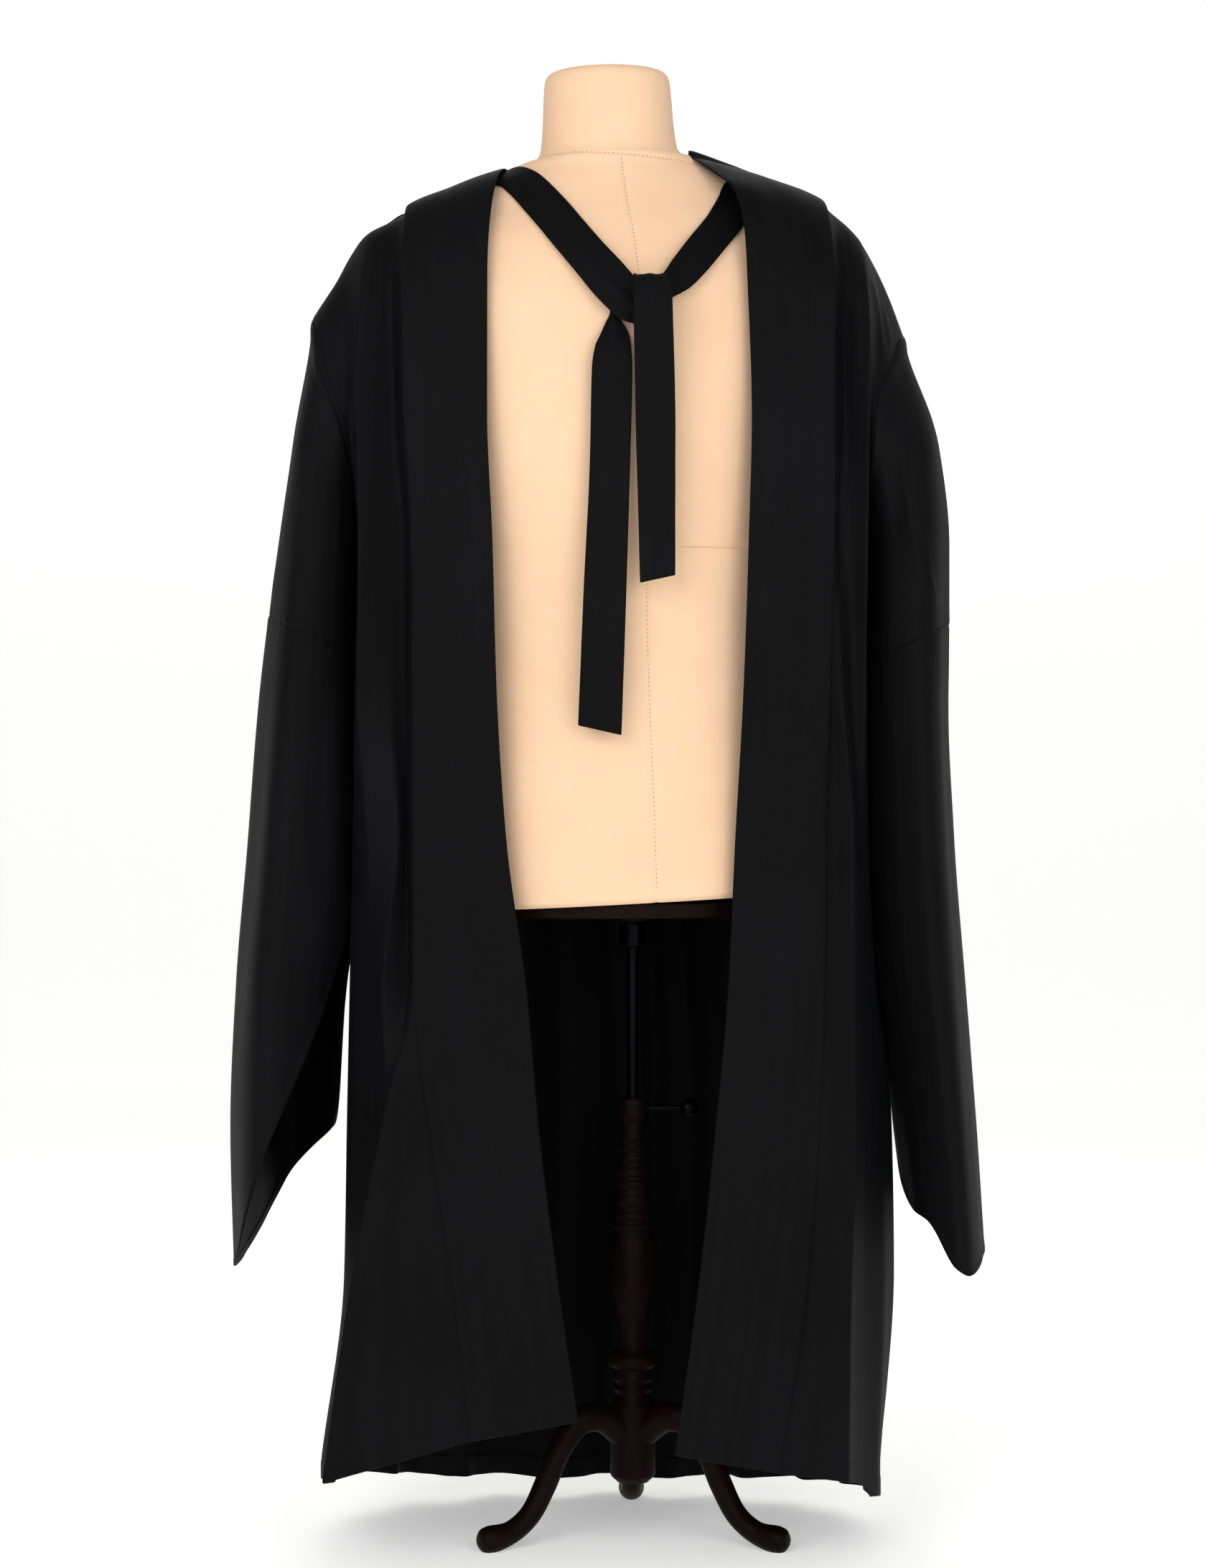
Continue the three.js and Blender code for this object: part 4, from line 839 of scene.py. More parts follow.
def addFront(name, user):
    rows = hemmedRows(user["plainRows"], user["fall"])
    start, normal, outward = besideBand(name, rows)
    points, rounds = [start], []
    for line in ("near", "mid", "far", "corner"):
        x, y = track(front[name], "z", line, 0), track(front[name], "z", line, 1)
        points.append(fallLine(ridge(name, frontTop[name][line]), x, y, frontHem[name][line], rows))
        rounds.append(track(table("z radius", frontRound[name][line]), "z", "radius")(points[-1][:, 2]))
    points.append(sideLine(name, rows, False))
    grid = foldedSection(np.stack(points, 1), rounds, user)
    shoulderGap = track(shoulder[name], "x", "z")(grid[0, :, 0]) - grid[0, :, 2]
    shoulderGap[:8] *= np.linspace(0, 1, 8)
    grid[..., 2] += shoulderGap[None] * (1 - rowOut(rows))[:, None] ** 2
    sink = (1 - smoothStep(seamLow, seamHigh, start[:, 2]))[:, None]
    tuck = []
    for away, sunk in ((user["tuck"], 1.9), (2.2, 1.8), (0.6, 1.0)):
        tuck.append(start - outward * away - normal * sunk * sink)
    grid = np.concatenate([np.stack(tuck, 1), grid], 1)
    relief, thicker = hemRelief(rows, user["fall"])
    lift = creaseRelief(grid, frontCreases[name]) + softWaves(grid, user["waves"], 0.6 if name == "left" else 2.9)
    lift[:, :4] = 0
    made, outer, normals = clothWallMesh(
        f"front{name.capitalize()}", grid, user["wall"], relief=relief[:, None] + lift,
        hemDepth=thicker[:, None] - lift, replaced=[f"front_{name}"])
    addHemStitches(f"frontHemStitches{name.capitalize()}", outer[:, 4:], normals[:, 4:], rows, user["fall"])


for side in ("left", "right"):
    addFront(side, frontUser)
print("front panels made")

# Back panel: gathered under the collar and hanging in soft folds

backUser = {
    "wall": 1.3, "columns": 250, "plainRows": 96, "fall": 1300, "waves": 0.4, "gathers": 46, "gatherDeep": 1.5,
    "flat": (0.84, 1.33), "area": 0.98,
}


def backPoints(share, row):
    folds = backFolds
    left, right = sideLine("left", row, True), sideLine("right", row, True)
    topLeft, topRight = sideLine("left", 0, True), sideLine("right", 0, True)
    tops = []
    for s in share:
        name = "left" if s < 0.5 else "right"
        away = min(s, 1 - s)
        if away < shoulderPart:
            start = shoulder[name][0 if name == "left" else -1]["x"]
            end = besideBand(name, 0)[0][0]
            t = away / shoulderPart
            spot = ridge(name, mix(start, end[0], t))
            spot[2] = mix(spot[2], end[2], t * t)
        else:
            spot = besideBand(name, -(away - shoulderPart) / (0.5 - shoulderPart))[0][0]
        tops.append(spot)
    top = np.array(tops)
    angle = share * math.pi
    over, bulge = (1 - np.cos(angle)) / 2, np.abs(np.sin(angle)) ** 0.72
    hem = mix(mix(backHem["left"], backHem["right"], share), backHem["middle"], np.sin(angle))
    rows = row[:, None]
    z = rowHeight(top[None, :, 2], hem[None], rows)
    nearLeft = np.maximum(0, 1 - share / folds["nearSide"]) ** 2
    nearRight = np.maximum(0, 1 - (1 - share) / folds["nearSide"]) ** 2
    z = z + (left[:, 2] - rowHeight(topLeft[2], backHem["left"], row))[:, None] * nearLeft
    z = z + (right[:, 2] - rowHeight(topRight[2], backHem["right"], row))[:, None] * nearRight
    deep = track(backDepth, "z", "y")

    def section(a, b, depth):
        return mix(a[0], b[0], over), mix(mix(a[1], b[1], share), depth, bulge)

    x, y = section((left[:, :1], left[:, 1:2]), (right[:, :1], right[:, 1:2]), deep(z))
    topX, topY = section(topLeft, topRight, deep(top[:, 2]))
    still = 1 - rowOut(rows)
    x, y = x + (top[:, 0] - topX) * still, y + (top[:, 1] - topY) * still
    fall = np.maximum(0, (top[:, 2] - z) / (top[:, 2] - hem))
    place = share + folds["drift"] * np.sin(folds["driftTurns"] * share)
    wave = -np.cos(place * folds["count"] * 2 * math.pi)
    size = mix(folds["topDepth"], folds["hemDepth"], fall) * np.minimum(1, fall * 6) * bulge
    x, y = x - np.cos(angle) * wave * size, y + np.sin(angle) * wave * size
    for name, inside, outside in (("left", -188, -212), ("right", 206, 230)):
        behind = np.maximum(0, y - x * ridgeSlope)
        above = np.maximum(0, z - (track(shoulder[name], "x", "z")(x) - 0.12 * behind))
        z = z - above * smoothStep(0, 1, (x - inside) / (outside - inside))
    return np.stack([x, y, z], -1), fall


def seamAllowance(top, share, away):  # rows that run on from the upper edge, under the collar and the fronts
    made = []
    for spot, s in zip(top, share):
        near = min(s, 1 - s)
        if near < shoulderPart:
            made.append(spot + np.array([0, -away * 0.8, -min(2.4, 0.8 + away * 0.6)]))
        else:
            row = -(near - shoulderPart) / (0.5 - shoulderPart)
            outward = besideBand("left" if s < 0.5 else "right", row)[2][0]
            made.append(spot - outward * away)
    return np.array(made)


def addBack(user):
    rows = hemmedRows(user["plainRows"], user["fall"])
    share = np.linspace(0, 1, user["columns"])
    grid, fall = backPoints(share, rows)
    tucks = [10, 5, 1.5]
    grid = np.concatenate([[seamAllowance(grid[0], share, away) for away in tucks], grid])
    fall = np.concatenate([np.zeros((len(tucks), len(share))), fall])
    rows = np.concatenate([[-0.003, -0.002, -0.001], rows])
    relief, thicker = hemRelief(rows, user["fall"])
    middle = np.sin(share * math.pi) ** 0.6
    gathered = np.sin(share * user["gathers"] * 2 * math.pi + 0.8 * np.sin(share * 31)) * middle
    lift = gathered * user["gatherDeep"] * np.exp(-(fall / 0.09) ** 2) * smoothStep(0, 0.01, fall)
    small = np.sin((share + 0.02 * np.sin(share * 23)) * 52 * math.pi + 0.9 * np.sin(share * 9))
    lift = lift + 1.1 * small * middle * smoothStep(0.05, 0.6, fall) + softWaves(grid, user["waves"], 5.2)
    made, outer, normals = clothWallMesh(
        "gownBack", grid, user["wall"], relief=relief[:, None] + lift, hemDepth=thicker[:, None] - lift,
        replaced=["back"])
    addHemStitches("backHemStitches", outer, normals, rows, user["fall"])


addBack(backUser)
print("back made")

# Sleeves: an upper and a lower part, sewn together across the elbow

sleeve = {
    "left": table("z outer inner front back", [
        (1177, -288, -246, -112, 60), (1080, -299, -249, -114, 66), (960, -316, -249, -116, 78),
        (820, -334, -250, -118, 96), (680, -346, -252, -122, 110), (540, -358, -258, -127, 119),
        (400, -363, -266, -132, 124), (250, -359, -280, -136, 128),
    ]),
    "right": table("z outer inner front back", [
        (1172, 297, 256, -84, 92), (1080, 318, 258, -86, 98), (960, 332, 258, -90, 110),
        (820, 332, 259, -96, 124), (680, 338, 261, -101, 132), (540, 348, 267, -106, 136),
        (400, 358, 281, -110, 138), (250, 368, 293, -113, 139),
    ]),
}
sleeveEnd = {  # height of the mouth's edge, round from the outer side over the front to the back
    "left": [(0, 262), (0.125, 300), (0.25, 402), (0.375, 507), (0.44, 580), (0.47, 592), (0.5, 570), (0.535, 440),
             (0.57, 402), (0.625, 384), (0.75, 345), (0.875, 287)],
    "right": [(0, 279), (0.1, 274), (0.2, 267), (0.25, 273), (0.36, 317), (0.44, 324), (0.5, 345), (0.625, 500),
              (0.75, 420), (0.875, 310)],
}
sleeveInside = {  # where the inner side rests against the body
    "left": [(1177, -246), (1080, -248), (960, -240), (820, -239.5), (680, -242.5), (600, -245), (540, -255),
             (480, -259), (400, -263), (250, -280)],
    "right": [(1172, 256), (1080, 255), (960, 250), (820, 249.5), (680, 252.5), (600, 255.5), (540, 262), (500, 269),
              (436, 278), (400, 282), (335, 289), (250, 294)],
}
elbow = {"left": {"middle": 872, "slant": 20}, "right": {"middle": 867, "slant": 18}}
sleeveFolds = {"count": 5, "depth": 4}
sleeveUser = {
    "wall": 1.3, "columns": 104, "upperRows": 74, "upperFall": 330, "lowerRows": 96, "hem": 6, "waves": 0.5,
    "puckers": 34, "puckerDeep": 0.5,
    "upperFlat": (0.6, 0.31), "upperArea": 0.105, "lowerFlat": (0.62, 0.61), "lowerArea": 0.29,
}
sleeveCreases = {
    "left": [
        {"path": [(-276, 1140), (-290, 1060), (-308, 960), (-325, 880)], "wide": 7, "deep": 1.8},
        {"path": [(-262, 1120), (-268, 1040), (-276, 960), (-290, 890)], "wide": 7, "deep": -1.6},
        {"path": [(-256, 1080), (-254, 1000), (-252, 930)], "wide": 5, "deep": 1.3},
        {"path": [(-300, 850), (-312, 740), (-322, 600), (-328, 470)], "wide": 10, "deep": 2.0},
        {"path": [(-268, 850), (-272, 720), (-270, 600)], "wide": 9, "deep": -1.8},
    ],
    "right": [
        {"path": [(278, 1065), (290, 974), (305, 909), (311, 891)], "wide": 4, "deep": 2.6},
        {"path": [(287, 1018), (298, 970), (307, 920), (314, 894)], "wide": 3, "deep": 2.0},
        {"path": [(283, 1040), (294, 972), (307, 905)], "wide": 3, "deep": -1.6},
        {"path": [(268, 1120), (270, 1040), (280, 930)], "wide": 6, "deep": -1.4},
        {"path": [(298, 860), (300, 740), (308, 560), (318, 400)], "wide": 9, "deep": 1.8},
        {"path": [(330, 850), (334, 700), (344, 520), (352, 380)], "wide": 9, "deep": -1.5},
    ],
}


def sleeveLoop(name, share, z):
    outer, ahead, behind = [track(sleeve[name], "z", c)(z) for c in ("outer", "front", "back")]
    inner = track(table("z x", sleeveInside[name]), "z", "x")(z)
    angle = share * 2 * math.pi
    wave = np.cos(angle * sleeveFolds["count"]) * sleeveFolds["depth"] * np.minimum(1, (1200 - z) / 500)
    wave = wave * (1 - smoothStep(0.75, 1, -np.cos(angle)))
    halfX, halfY = (outer - inner) / 2, (behind - ahead) / 2
    return np.stack([
        (outer + inner) / 2 + np.cos(angle) * (halfX + np.sign(halfX) * wave * 0.5),
        (ahead + behind) / 2 - np.sin(angle) * (halfY + wave),
        z,
    ], -1)


def elbowHeight(name, share):
    return elbow[name]["middle"] + elbow[name]["slant"] * np.cos(share * 2 * math.pi)


def sleeveMouth(name, share):
    ends = [{"share": place + lap, "z": z} for lap in (-1, 0, 1) for place, z in sleeveEnd[name]]
    return track(ends, "share", "z")(share)


def addSleeve(name, user):
    share = np.arange(user["columns"]) / user["columns"]
    outward = -1 if name == "left" else 1
    facing = smoothStep(-0.1, 0.35, np.sin(share * 2 * math.pi))
    start = armholePoints(name, share)
    under = np.sqrt(np.maximum(0, -np.cos(share * 2 * math.pi)))
    start[:, 0] += outward * (0.4 + 1.4 * under)
    near = np.array([0, 1.2, 2.6, 4.5, 7, 10]) / user["upperFall"]
    down = np.concatenate([near, np.linspace(near[-1], 1 - near[-1], user["upperRows"])[1:], 1 - near[4::-1]])
    height = elbowHeight(name, share)
    z = mix(start[None, :, 2], height[None], down[:, None])
    loop = sleeveLoop(name, share[None], z)
    blendIn = np.sin(np.minimum(1, down / 0.4) * math.pi / 2)[:, None]
    x, y = mix(start[None, :, 0], loop[..., 0], blendIn), mix(start[None, :, 1], loop[..., 1], blendIn)
    upper = np.stack([x, y, z], -1)
    fromTop, toElbow = down * user["upperFall"], (1 - down) * user["upperFall"]
    seamDip = -0.9 * np.exp(-((fromTop / 2.2) ** 2)) - 0.7 * np.exp(-((toElbow / 2.0) ** 2))
    head = 1.3 * np.exp(-(((fromTop - 9) / 9) ** 2))
    pucker = user["puckerDeep"] * np.sin(share * user["puckers"] * 2 * math.pi + 2 * np.sin(share * 13))
    lift = creaseRelief(upper, sleeveCreases[name]) * facing + softWaves(upper, user["waves"], 3.0 + outward)
    lift += (seamDip + head)[:, None] + pucker * np.exp(-(toElbow / 14))[:, None]
    top, _, _ = clothWallMesh(f"sleeve{name.capitalize()}Upper", upper, user["wall"], loop=True, middle=None,
                              relief=lift, hemDepth=-np.minimum(lift, 0.6), replaced=[f"sleeve_{name}_upper"])
    mouth = sleeveMouth(name, share)
    ring = sleeveLoop(name, share, mouth)
    steps = np.roll(ring, -1, 0) - np.roll(ring, 1, 0)
    slope = np.abs(steps[:, 2]) / np.maximum(np.linalg.norm(steps[:, :2], axis=-1), 1e-6)
    length = height - mouth
    stretch = np.minimum(np.sqrt(1 + slope ** 2), 3.2) / length
    edge = np.array([13, 11, 9.5, 8.4, 7.5, 7, 6.6, 6.3, 6, 5.7, 5.4, 5, 4.2, 3, 1.8, 0.8, 0])
    first = np.linspace(0, 1, user["lowerRows"])[:, None] * (1 - 15 * stretch)[None]
    seam = near[1:4, None] * user["upperFall"] / length[None]
    fall = np.concatenate([first[:1], seam, first[1:], 1 - edge[:, None] * stretch[None]])
    fall = np.sort(fall, axis=0)
    away = (1 - fall) / stretch
    z = mix(height[None], mouth[None], fall)
    lower = sleeveLoop(name, share[None], z)
    lift = creaseRelief(lower, sleeveCreases[name]) * facing + softWaves(lower, user["waves"], 6.0 + outward)
    fromSeam = fall * length
    lift += -0.7 * np.exp(-((fromSeam / 2.0) ** 2)) + pucker * np.exp(-fromSeam / 14)
    layers = 0.35 * (1 - smoothStep(user["hem"], user["hem"] + 1.6, away))
    lift += layers - 0.4 * np.exp(-(((away - user["hem"]) / 0.8) ** 2))
    thicker = 0.9 * (1 - smoothStep(user["hem"] + 1, user["hem"] + 2.6, away))
    bottom, outer, normals = clothWallMesh(
        f"sleeve{name.capitalize()}Lower", lower, user["wall"], loop=True, middle=None, relief=lift,
        hemDepth=thicker - np.minimum(lift, 0.6), replaced=[f"sleeve_{name}_lower"])
    row = np.abs(away - user["hem"]).argmin(0)
    spots = outer[row, np.arange(len(share))] + 0.1 * normals[row, np.arange(len(share))]
    around = normals[row, np.arange(len(share))]
    stitchLine(f"sleeveHemStitches{name.capitalize()}", np.concatenate([spots, spots[:1]]),
               np.concatenate([around, around[:1]]), blackThread)


for side in ("left", "right"):
    addSleeve(side, sleeveUser)
print("sleeves made")

# Dress form: a padded torso in jersey, with its seams and a dart

turn = math.radians(9)
formBottom, formTop = 617, 1431
lowTilt = 0.05
formRings = table("z wide deep square", [
    (617, 174, 119, 2.3), (622, 178, 123, 2.3), (720, 175, 119, 2.3), (800, 168, 112, 2.3),
    (880, 164, 108, 2.3), (950, 168, 112, 2.3), (1030, 175, 119, 2.3), (1100, 184, 122, 2.3),
    (1150, 196, 120, 2.25), (1190, 210, 115, 2.2), (1226, 222, 108, 2), (1254, 226, 99, 1.85),
    (1272, 217, 91, 1.7), (1286, 201, 84, 1.6), (1300.5, 177, 77, 1.6), (1314, 147, 71, 1.6),
    (1324.5, 114, 66.5, 1.7), (1335, 87, 64, 1.9), (1339, 73, 62, 2), (1347, 67, 60, 2), (1371, 64, 58, 2),
    (1396, 62.5, 57, 2), (1413, 61, 56, 2), (1419, 58.5, 53, 2), (1421.5, 54.5, 49, 2), (1422.5, 47, 42, 2),
])
formUser = {
    "seamAngles": (-88.2, 0, 180, 90, 125, 55), "seamWide": 1.3, "seamDeep": 0.7,
    "neckSeamIndex": 3,  # the centre back seam runs on over the neck, the others end at the neck seam
    "neckSeam": 1333, "neckSlant": -0.106, "fill": 0.95,
    "stitches": {"long": 1.7, "thick": 0.34, "gap": 4.2},
    "dart": {"z": 954, "from": 74, "to": 129, "deep": 1.7, "soft": 6},
}


def formCentreX(z):
    return mix(19, -0.5, (z - formBottom) / (formTop - formBottom))


def tiltAt(z):  # the shoulders and the lower edge rise to the right
    return 0.06 * smoothStep(950, 1200, z) * (1 - 0.6 * smoothStep(1320, 1380, z)) + lowTilt * smoothStep(800, 640, z)


def formPoints(z, angle, shrink=0):
    wide, deep, square = [track(formRings, "z", c)(z) for c in ("wide", "deep", "square")]
    cosine, sine = np.cos(angle), np.sin(angle)
    x = (wide - shrink) * np.sign(cosine) * np.abs(cosine) ** (2 / square)
    y = (deep - shrink) * np.sign(sine) * np.abs(sine) ** (2 / square)
    turnedX = x * math.cos(turn) - y * math.sin(turn)
    turnedY = x * math.sin(turn) + y * math.cos(turn)
    return np.stack([formCentreX(z) + turnedX, turnedY, z + tiltAt(z) * turnedX], -1)


def chestY(x, z):
    x, z = np.asarray(x, float), np.asarray(z, float)
    outside, inside = np.full(x.shape, -220.0), x * ridgeSlope
    for _ in range(26):
        y = (outside + inside) / 2
        level = z - tiltAt(z) * (x - formCentreX(z))
        dx = x - formCentreX(level)
        localX = dx * math.cos(turn) + y * math.sin(turn)
        localY = y * math.cos(turn) - dx * math.sin(turn)
        wide, deep, square = [track(formRings, "z", c)(level) for c in ("wide", "deep", "square")]
        isInside = np.abs(localX / wide) ** square + np.abs(localY / deep) ** square < 1
        outside, inside = np.where(isInside, outside, y), np.where(isInside, y, inside)
    return outside


def addForm(user):
    seams = np.radians(user["seamAngles"])
    base = np.radians(np.arange(-180, 180, 2.5))
    near = np.radians(np.array([-1.2, -0.8, -0.4, -0.15, 0, 0.15, 0.4, 0.8, 1.2]))
    besideSeams = [np.mod(s + near + math.pi, 2 * math.pi) - math.pi for s in seams]
    angles = np.unique(np.round(np.concatenate([base] + besideSeams), 6))
    neck = user["neckSeam"]
    dart = user["dart"]
    heights = np.concatenate([
        [617, 617.6, 618.6, 620, 622, 625], np.linspace(630, 948, 68),
        dart["z"] + np.array([-3, -1.5, -0.7, -0.25, 0, 0.25, 0.7, 1.5, 2.5, 4, 6, 9, 12]),
        np.linspace(970, 1321, 80), neck + np.arange(-9.8, 9.9, 0.7), np.linspace(1345.5, 1409, 20),
        [1412, 1414.5, 1416.5, 1418, 1419.4, 1420.4, 1421.2, 1422, 1422.5],
    ])
    grid = formPoints(heights[:, None], angles[None])
    normals = unit(np.cross(np.roll(grid, -1, 1) - np.roll(grid, 1, 1), np.gradient(grid, axis=0)))
    if (normals * (grid - grid.mean(1, keepdims=True))).sum() < 0:
        normals = -normals
    neckLine = neck + user["neckSlant"] * (grid[..., 0] - 8)
    onBody = smoothStep(1, -2, heights[:, None] - neckLine)
    dip = np.zeros(grid.shape[:-1])
    for i, s in enumerate(seams):
        apart = np.abs(np.mod(angles - s + math.pi, 2 * math.pi) - math.pi)
        reach = apart[None] * np.hypot(grid[..., 0], grid[..., 1])
        dip += np.exp(-((reach / user["seamWide"]) ** 2)) * (1.0 if i == user["neckSeamIndex"] else onBody)
    dip += 1.3 * np.exp(-(((heights[:, None] - neckLine) / 0.9) ** 2))
    x = grid[..., 0]  # at the dart, the cloth above its edge goes in and comes out again higher up
    inDart = smoothStep(dart["from"] - 3, dart["from"], x) * smoothStep(dart["to"] + 3, dart["to"], x)
    above = heights - dart["z"]
    goesIn = smoothStep(-0.3, 0.3, above) * np.exp(-np.maximum(above, 0) / dart["soft"]) * smoothStep(13, 8, above)
    depth = np.minimum(dip, 1.2) * user["seamDeep"] + dart["deep"] * goesIn[:, None] * inDart * (grid[..., 1] < 0)
    grid = grid - normals * depth[..., None]
    count = len(angles)
    verts = list(grid.reshape(-1, 3))
    faces = []
    for j in range(len(heights) - 1):
        for i in range(count):
            k = (i + 1) % count
            faces.append((j * count + i, j * count + k, (j + 1) * count + k, (j + 1) * count + i))
    for row in (0, len(heights) - 1):
        ring = [row * count + i for i in range(count)]
        centre = grid[row].mean(0)
        for size in (0.72, 0.4, 0.12):
            start = len(verts)
            verts.extend(mix(centre, grid[row], size) + np.array([0, 0, 0.9 * (1 - size) if row else 0]))
            inner = list(range(start, start + count))
            for i in range(count):
                k = (i + 1) % count
                faces.append((ring[i], ring[k], inner[k], inner[i]))
            ring = inner
        verts.append(centre + np.array([0, 0, 0.9 if row else 0]))
        for i in range(count):
            faces.append((ring[i], ring[(i + 1) % count], len(verts) - 1))
    made = finishMesh("formTorso", verts, faces, jerseyMaterial, gownBody, ["form_torso"])
    z = np.arange(630, neck - 1, 2.0)
    stitchLine("centreSeamStitches", formPoints(z, seams[0], shrink=0.5), np.tile([0.0, -1.0, 0.0], (len(z), 1)),
               creamThread, user["stitches"])
    around = np.radians(np.arange(-180, 181, 2.0))
    level = neck + user["neckSlant"] * (formPoints(np.full(len(around), neck), around)[:, 0] - 8)
    outwards = np.stack([np.cos(around + turn), np.sin(around + turn), 0 * around], -1)
    stitchLine("neckSeamStitches", formPoints(level, around, shrink=0.5), outwards, creamThread,
               user["stitches"])


addForm(formUser)
print("dress form made")

# Neck tie: two straps round the neck, a knot and two tails

ribbon = {
    "strapLeft": table("upper lower off", [
        ((-104, 1318), (-120, 1299), 2), ((-88, 1324), (-104, 1303), 2.5), ((-71, 1317), (-94, 1294), 3),
        ((-43, 1288), (-71, 1265), 4), ((-22, 1261), (-49, 1236), 6), ((-5, 1240), (-31, 1213), 9),
        ((12, 1221), (-8, 1184), 13), ((25, 1206), (14, 1164), 16), ((34, 1199), (28, 1160), 17),
    ]),
    "strapRight": table("upper lower off", [
        ((125, 1315), (141, 1273), 1.5), ((114, 1309), (132, 1267), 2), ((107, 1293), (124, 1255), 3),
        ((95, 1270), (109, 1235), 5), ((79, 1248), (92, 1213), 8), ((62, 1224), (77, 1197), 11),
        ((52, 1209), (61, 1187), 13), ((40, 1201), (48, 1179), 13),
    ]),
}
tieUser = {
    "wall": 1.0, "stations": 70, "columns": 22,
    "tails": {
        "left": table("run from to y z", [
            (0, 3, 10, -121, 1186), (14, 3, 9, -123, 1173), (24, -1, 14, -127, 1163), (36, -6, 20, -132, 1151),
            (48, -11, 22, -137, 1139), (68, -14, 23, -139.5, 1119), (156, -16, 21, -140, 1030),
            (281, -22, 17, -140, 905), (401, -27, 13, -140, 785),
        ]),
        "right": table("run from to y z", [
            (0, 30, 50, -130, 1180), (18, 27, 52, -133, 1198), (29, 25, 53, -141, 1205.5),
            (40, 25, 56, -150, 1199), (57, 25, 60, -153.5, 1182), (75, 25, 60.5, -152.5, 1164),
            (120, 26, 62, -147, 1119), (179, 27, 63, -144, 1060), (249, 29, 63, -143, 990),
            (321, 31, 63, -142, 918),
        ]),
    },
    "knot": {"x": 39, "y": -140, "z": 1188, "half": 14, "tall": 13, "deep": 8},
    "endSlants": {"left": -9, "right": 7},
    "straps": {"left": (0.042, 0.2), "right": (0.042, 0.18)},
    "tailFlats": {"left": (0.042, 0.42), "right": (0.042, 0.33)}, "knotFlat": (0.035, 0.075),
}


def addStrap(name, user):
    places = ribbon[f"strap{name.capitalize()}"]
    shares = np.linspace(0, 1, user["stations"])
    edges = [throughPoints(np.array([[(*row[edge], row["off"]) for row in places]]), shares)[0]
             for edge in ("upper", "lower")]
    across = np.linspace(0, 1, user["columns"])
    flat = mix(edges[0][:, None], edges[1][:, None], across[None, :, None])
    grid = np.stack([flat[..., 0], chestY(flat[..., 0], flat[..., 1]) - flat[..., 2], flat[..., 1]], -1)
    along = shares[:, None] * 190
    lift = softWaves(grid, 0.3, 8.0)
    if name == "right":
        lift += 0.9 * np.sin(along / 3.4 + 1.5 * np.sin(along / 11)) * np.exp(-across / 0.1)[None]
        fold = 0.3 + 0.04 * np.sin(along / 30)
        lift += 1.2 * smoothStep(fold - 0.02, fold + 0.05, across[None])
        lift -= 0.9 * np.exp(-(((across[None] - fold) / 0.035) ** 2))
    else:
        lift += 0.9 * np.exp(-(((across[None] - 0.55) / 0.12) ** 2)) * smoothStep(0.25, 0.9, shares)[:, None]
        lift -= 0.7 * np.exp(-(((across[None] - 0.33) / 0.07) ** 2)) * smoothStep(0.35, 0.9, shares)[:, None]
    made, _, _ = clothWallMesh(f"tieStrap{name.capitalize()}", grid, user["wall"], relief=lift, hemDepth=-lift,
                               replaced=[f"tie_strap_{name}"])


def addTail(name, user):
    places = user["tails"][name]
    end = places[-1]["run"]
    runs = np.concatenate([np.linspace(0, 90, 46), np.linspace(90, end, user["stations"])[1:]])
    across = np.linspace(0, 1, user["columns"])
    read = {c: track(places, "run", c)(runs) for c in ("from", "to", "y", "z")}
    x = mix(read["from"][:, None], read["to"][:, None], across[None])
    free = smoothStep(60, end, runs)[:, None]
    z = read["z"][:, None] + user["endSlants"][name] * across[None] * free
    y = read["y"][:, None] - 1.5 * 4 * across[None] * (1 - across[None]) * smoothStep(40, 90, runs)[:, None]
    grid = np.stack([x, y + 0 * x, z], -1)
    tight = np.exp(-((runs / (60 if name == "left" else 95)) ** 2))[:, None]
    if name == "left":
        folds = 0.9 * np.sin(across * 1.3 * 2 * math.pi + 0.5)
    else:
        folds = 0.5 * np.sin(across * 2.1 * 2 * math.pi + 1.0) - 1.2 * np.exp(-(((across - 0.12) / 0.07) ** 2))
    long = 0.7 * np.sin(across[None] * 5 + runs[:, None] / 45) * free
    lift = folds[None] * tight + long + 0.2 * np.sin(runs / 9)[:, None] * (1 - tight)
    lift += 0.35 * np.exp(-((np.minimum(across, 1 - across) / 0.04) ** 2))[None]
    made, _, _ = clothWallMesh(f"tieTail{name.capitalize()}", grid, user["wall"], relief=lift, hemDepth=-lift,
                               middle=(30, -139, 1100), replaced=[f"tie_tail_{name}"])


def addKnot(user):
    info = user["knot"]
    angle = np.radians(np.linspace(-245, 85, 84))
    across = np.linspace(0, 1, 30)
    wave = 1 + 0.05 * np.sin(across * 17)[None] + 0.04 * np.sin(across * 31 + 2)[None]
    squeeze = 1 - 0.16 * (2 * across - 1)[None] ** 2
    spiral = 1 + 0.05 * np.linspace(-1, 1, len(angle))[:, None]
    x = info["x"] + info["half"] * (2 * across - 1)[None] + 1.5 * np.sin(angle)[:, None]
    y = info["y"] + info["deep"] * np.cos(angle)[:, None] * wave * squeeze * spiral
    z = info["z"] - info["tall"] * np.sin(angle)[:, None] * wave * squeeze * spiral
    grid = np.stack([x + 0 * y, y, z], -1)
    lift = 0.6 * np.sin(across * 24)[None] * np.sin(angle / 2)[:, None] ** 2
    made, _, _ = clothWallMesh("tieKnot", grid, user["wall"], relief=lift, hemDepth=-lift,
                               middle=(info["x"], info["y"], info["z"]), replaced=["tie_knot"])


for side in ("left", "right"):
    addStrap(side, tieUser)
addKnot(tieUser)
for side in ("left", "right"):
    addTail(side, tieUser)
print("neck tie made")

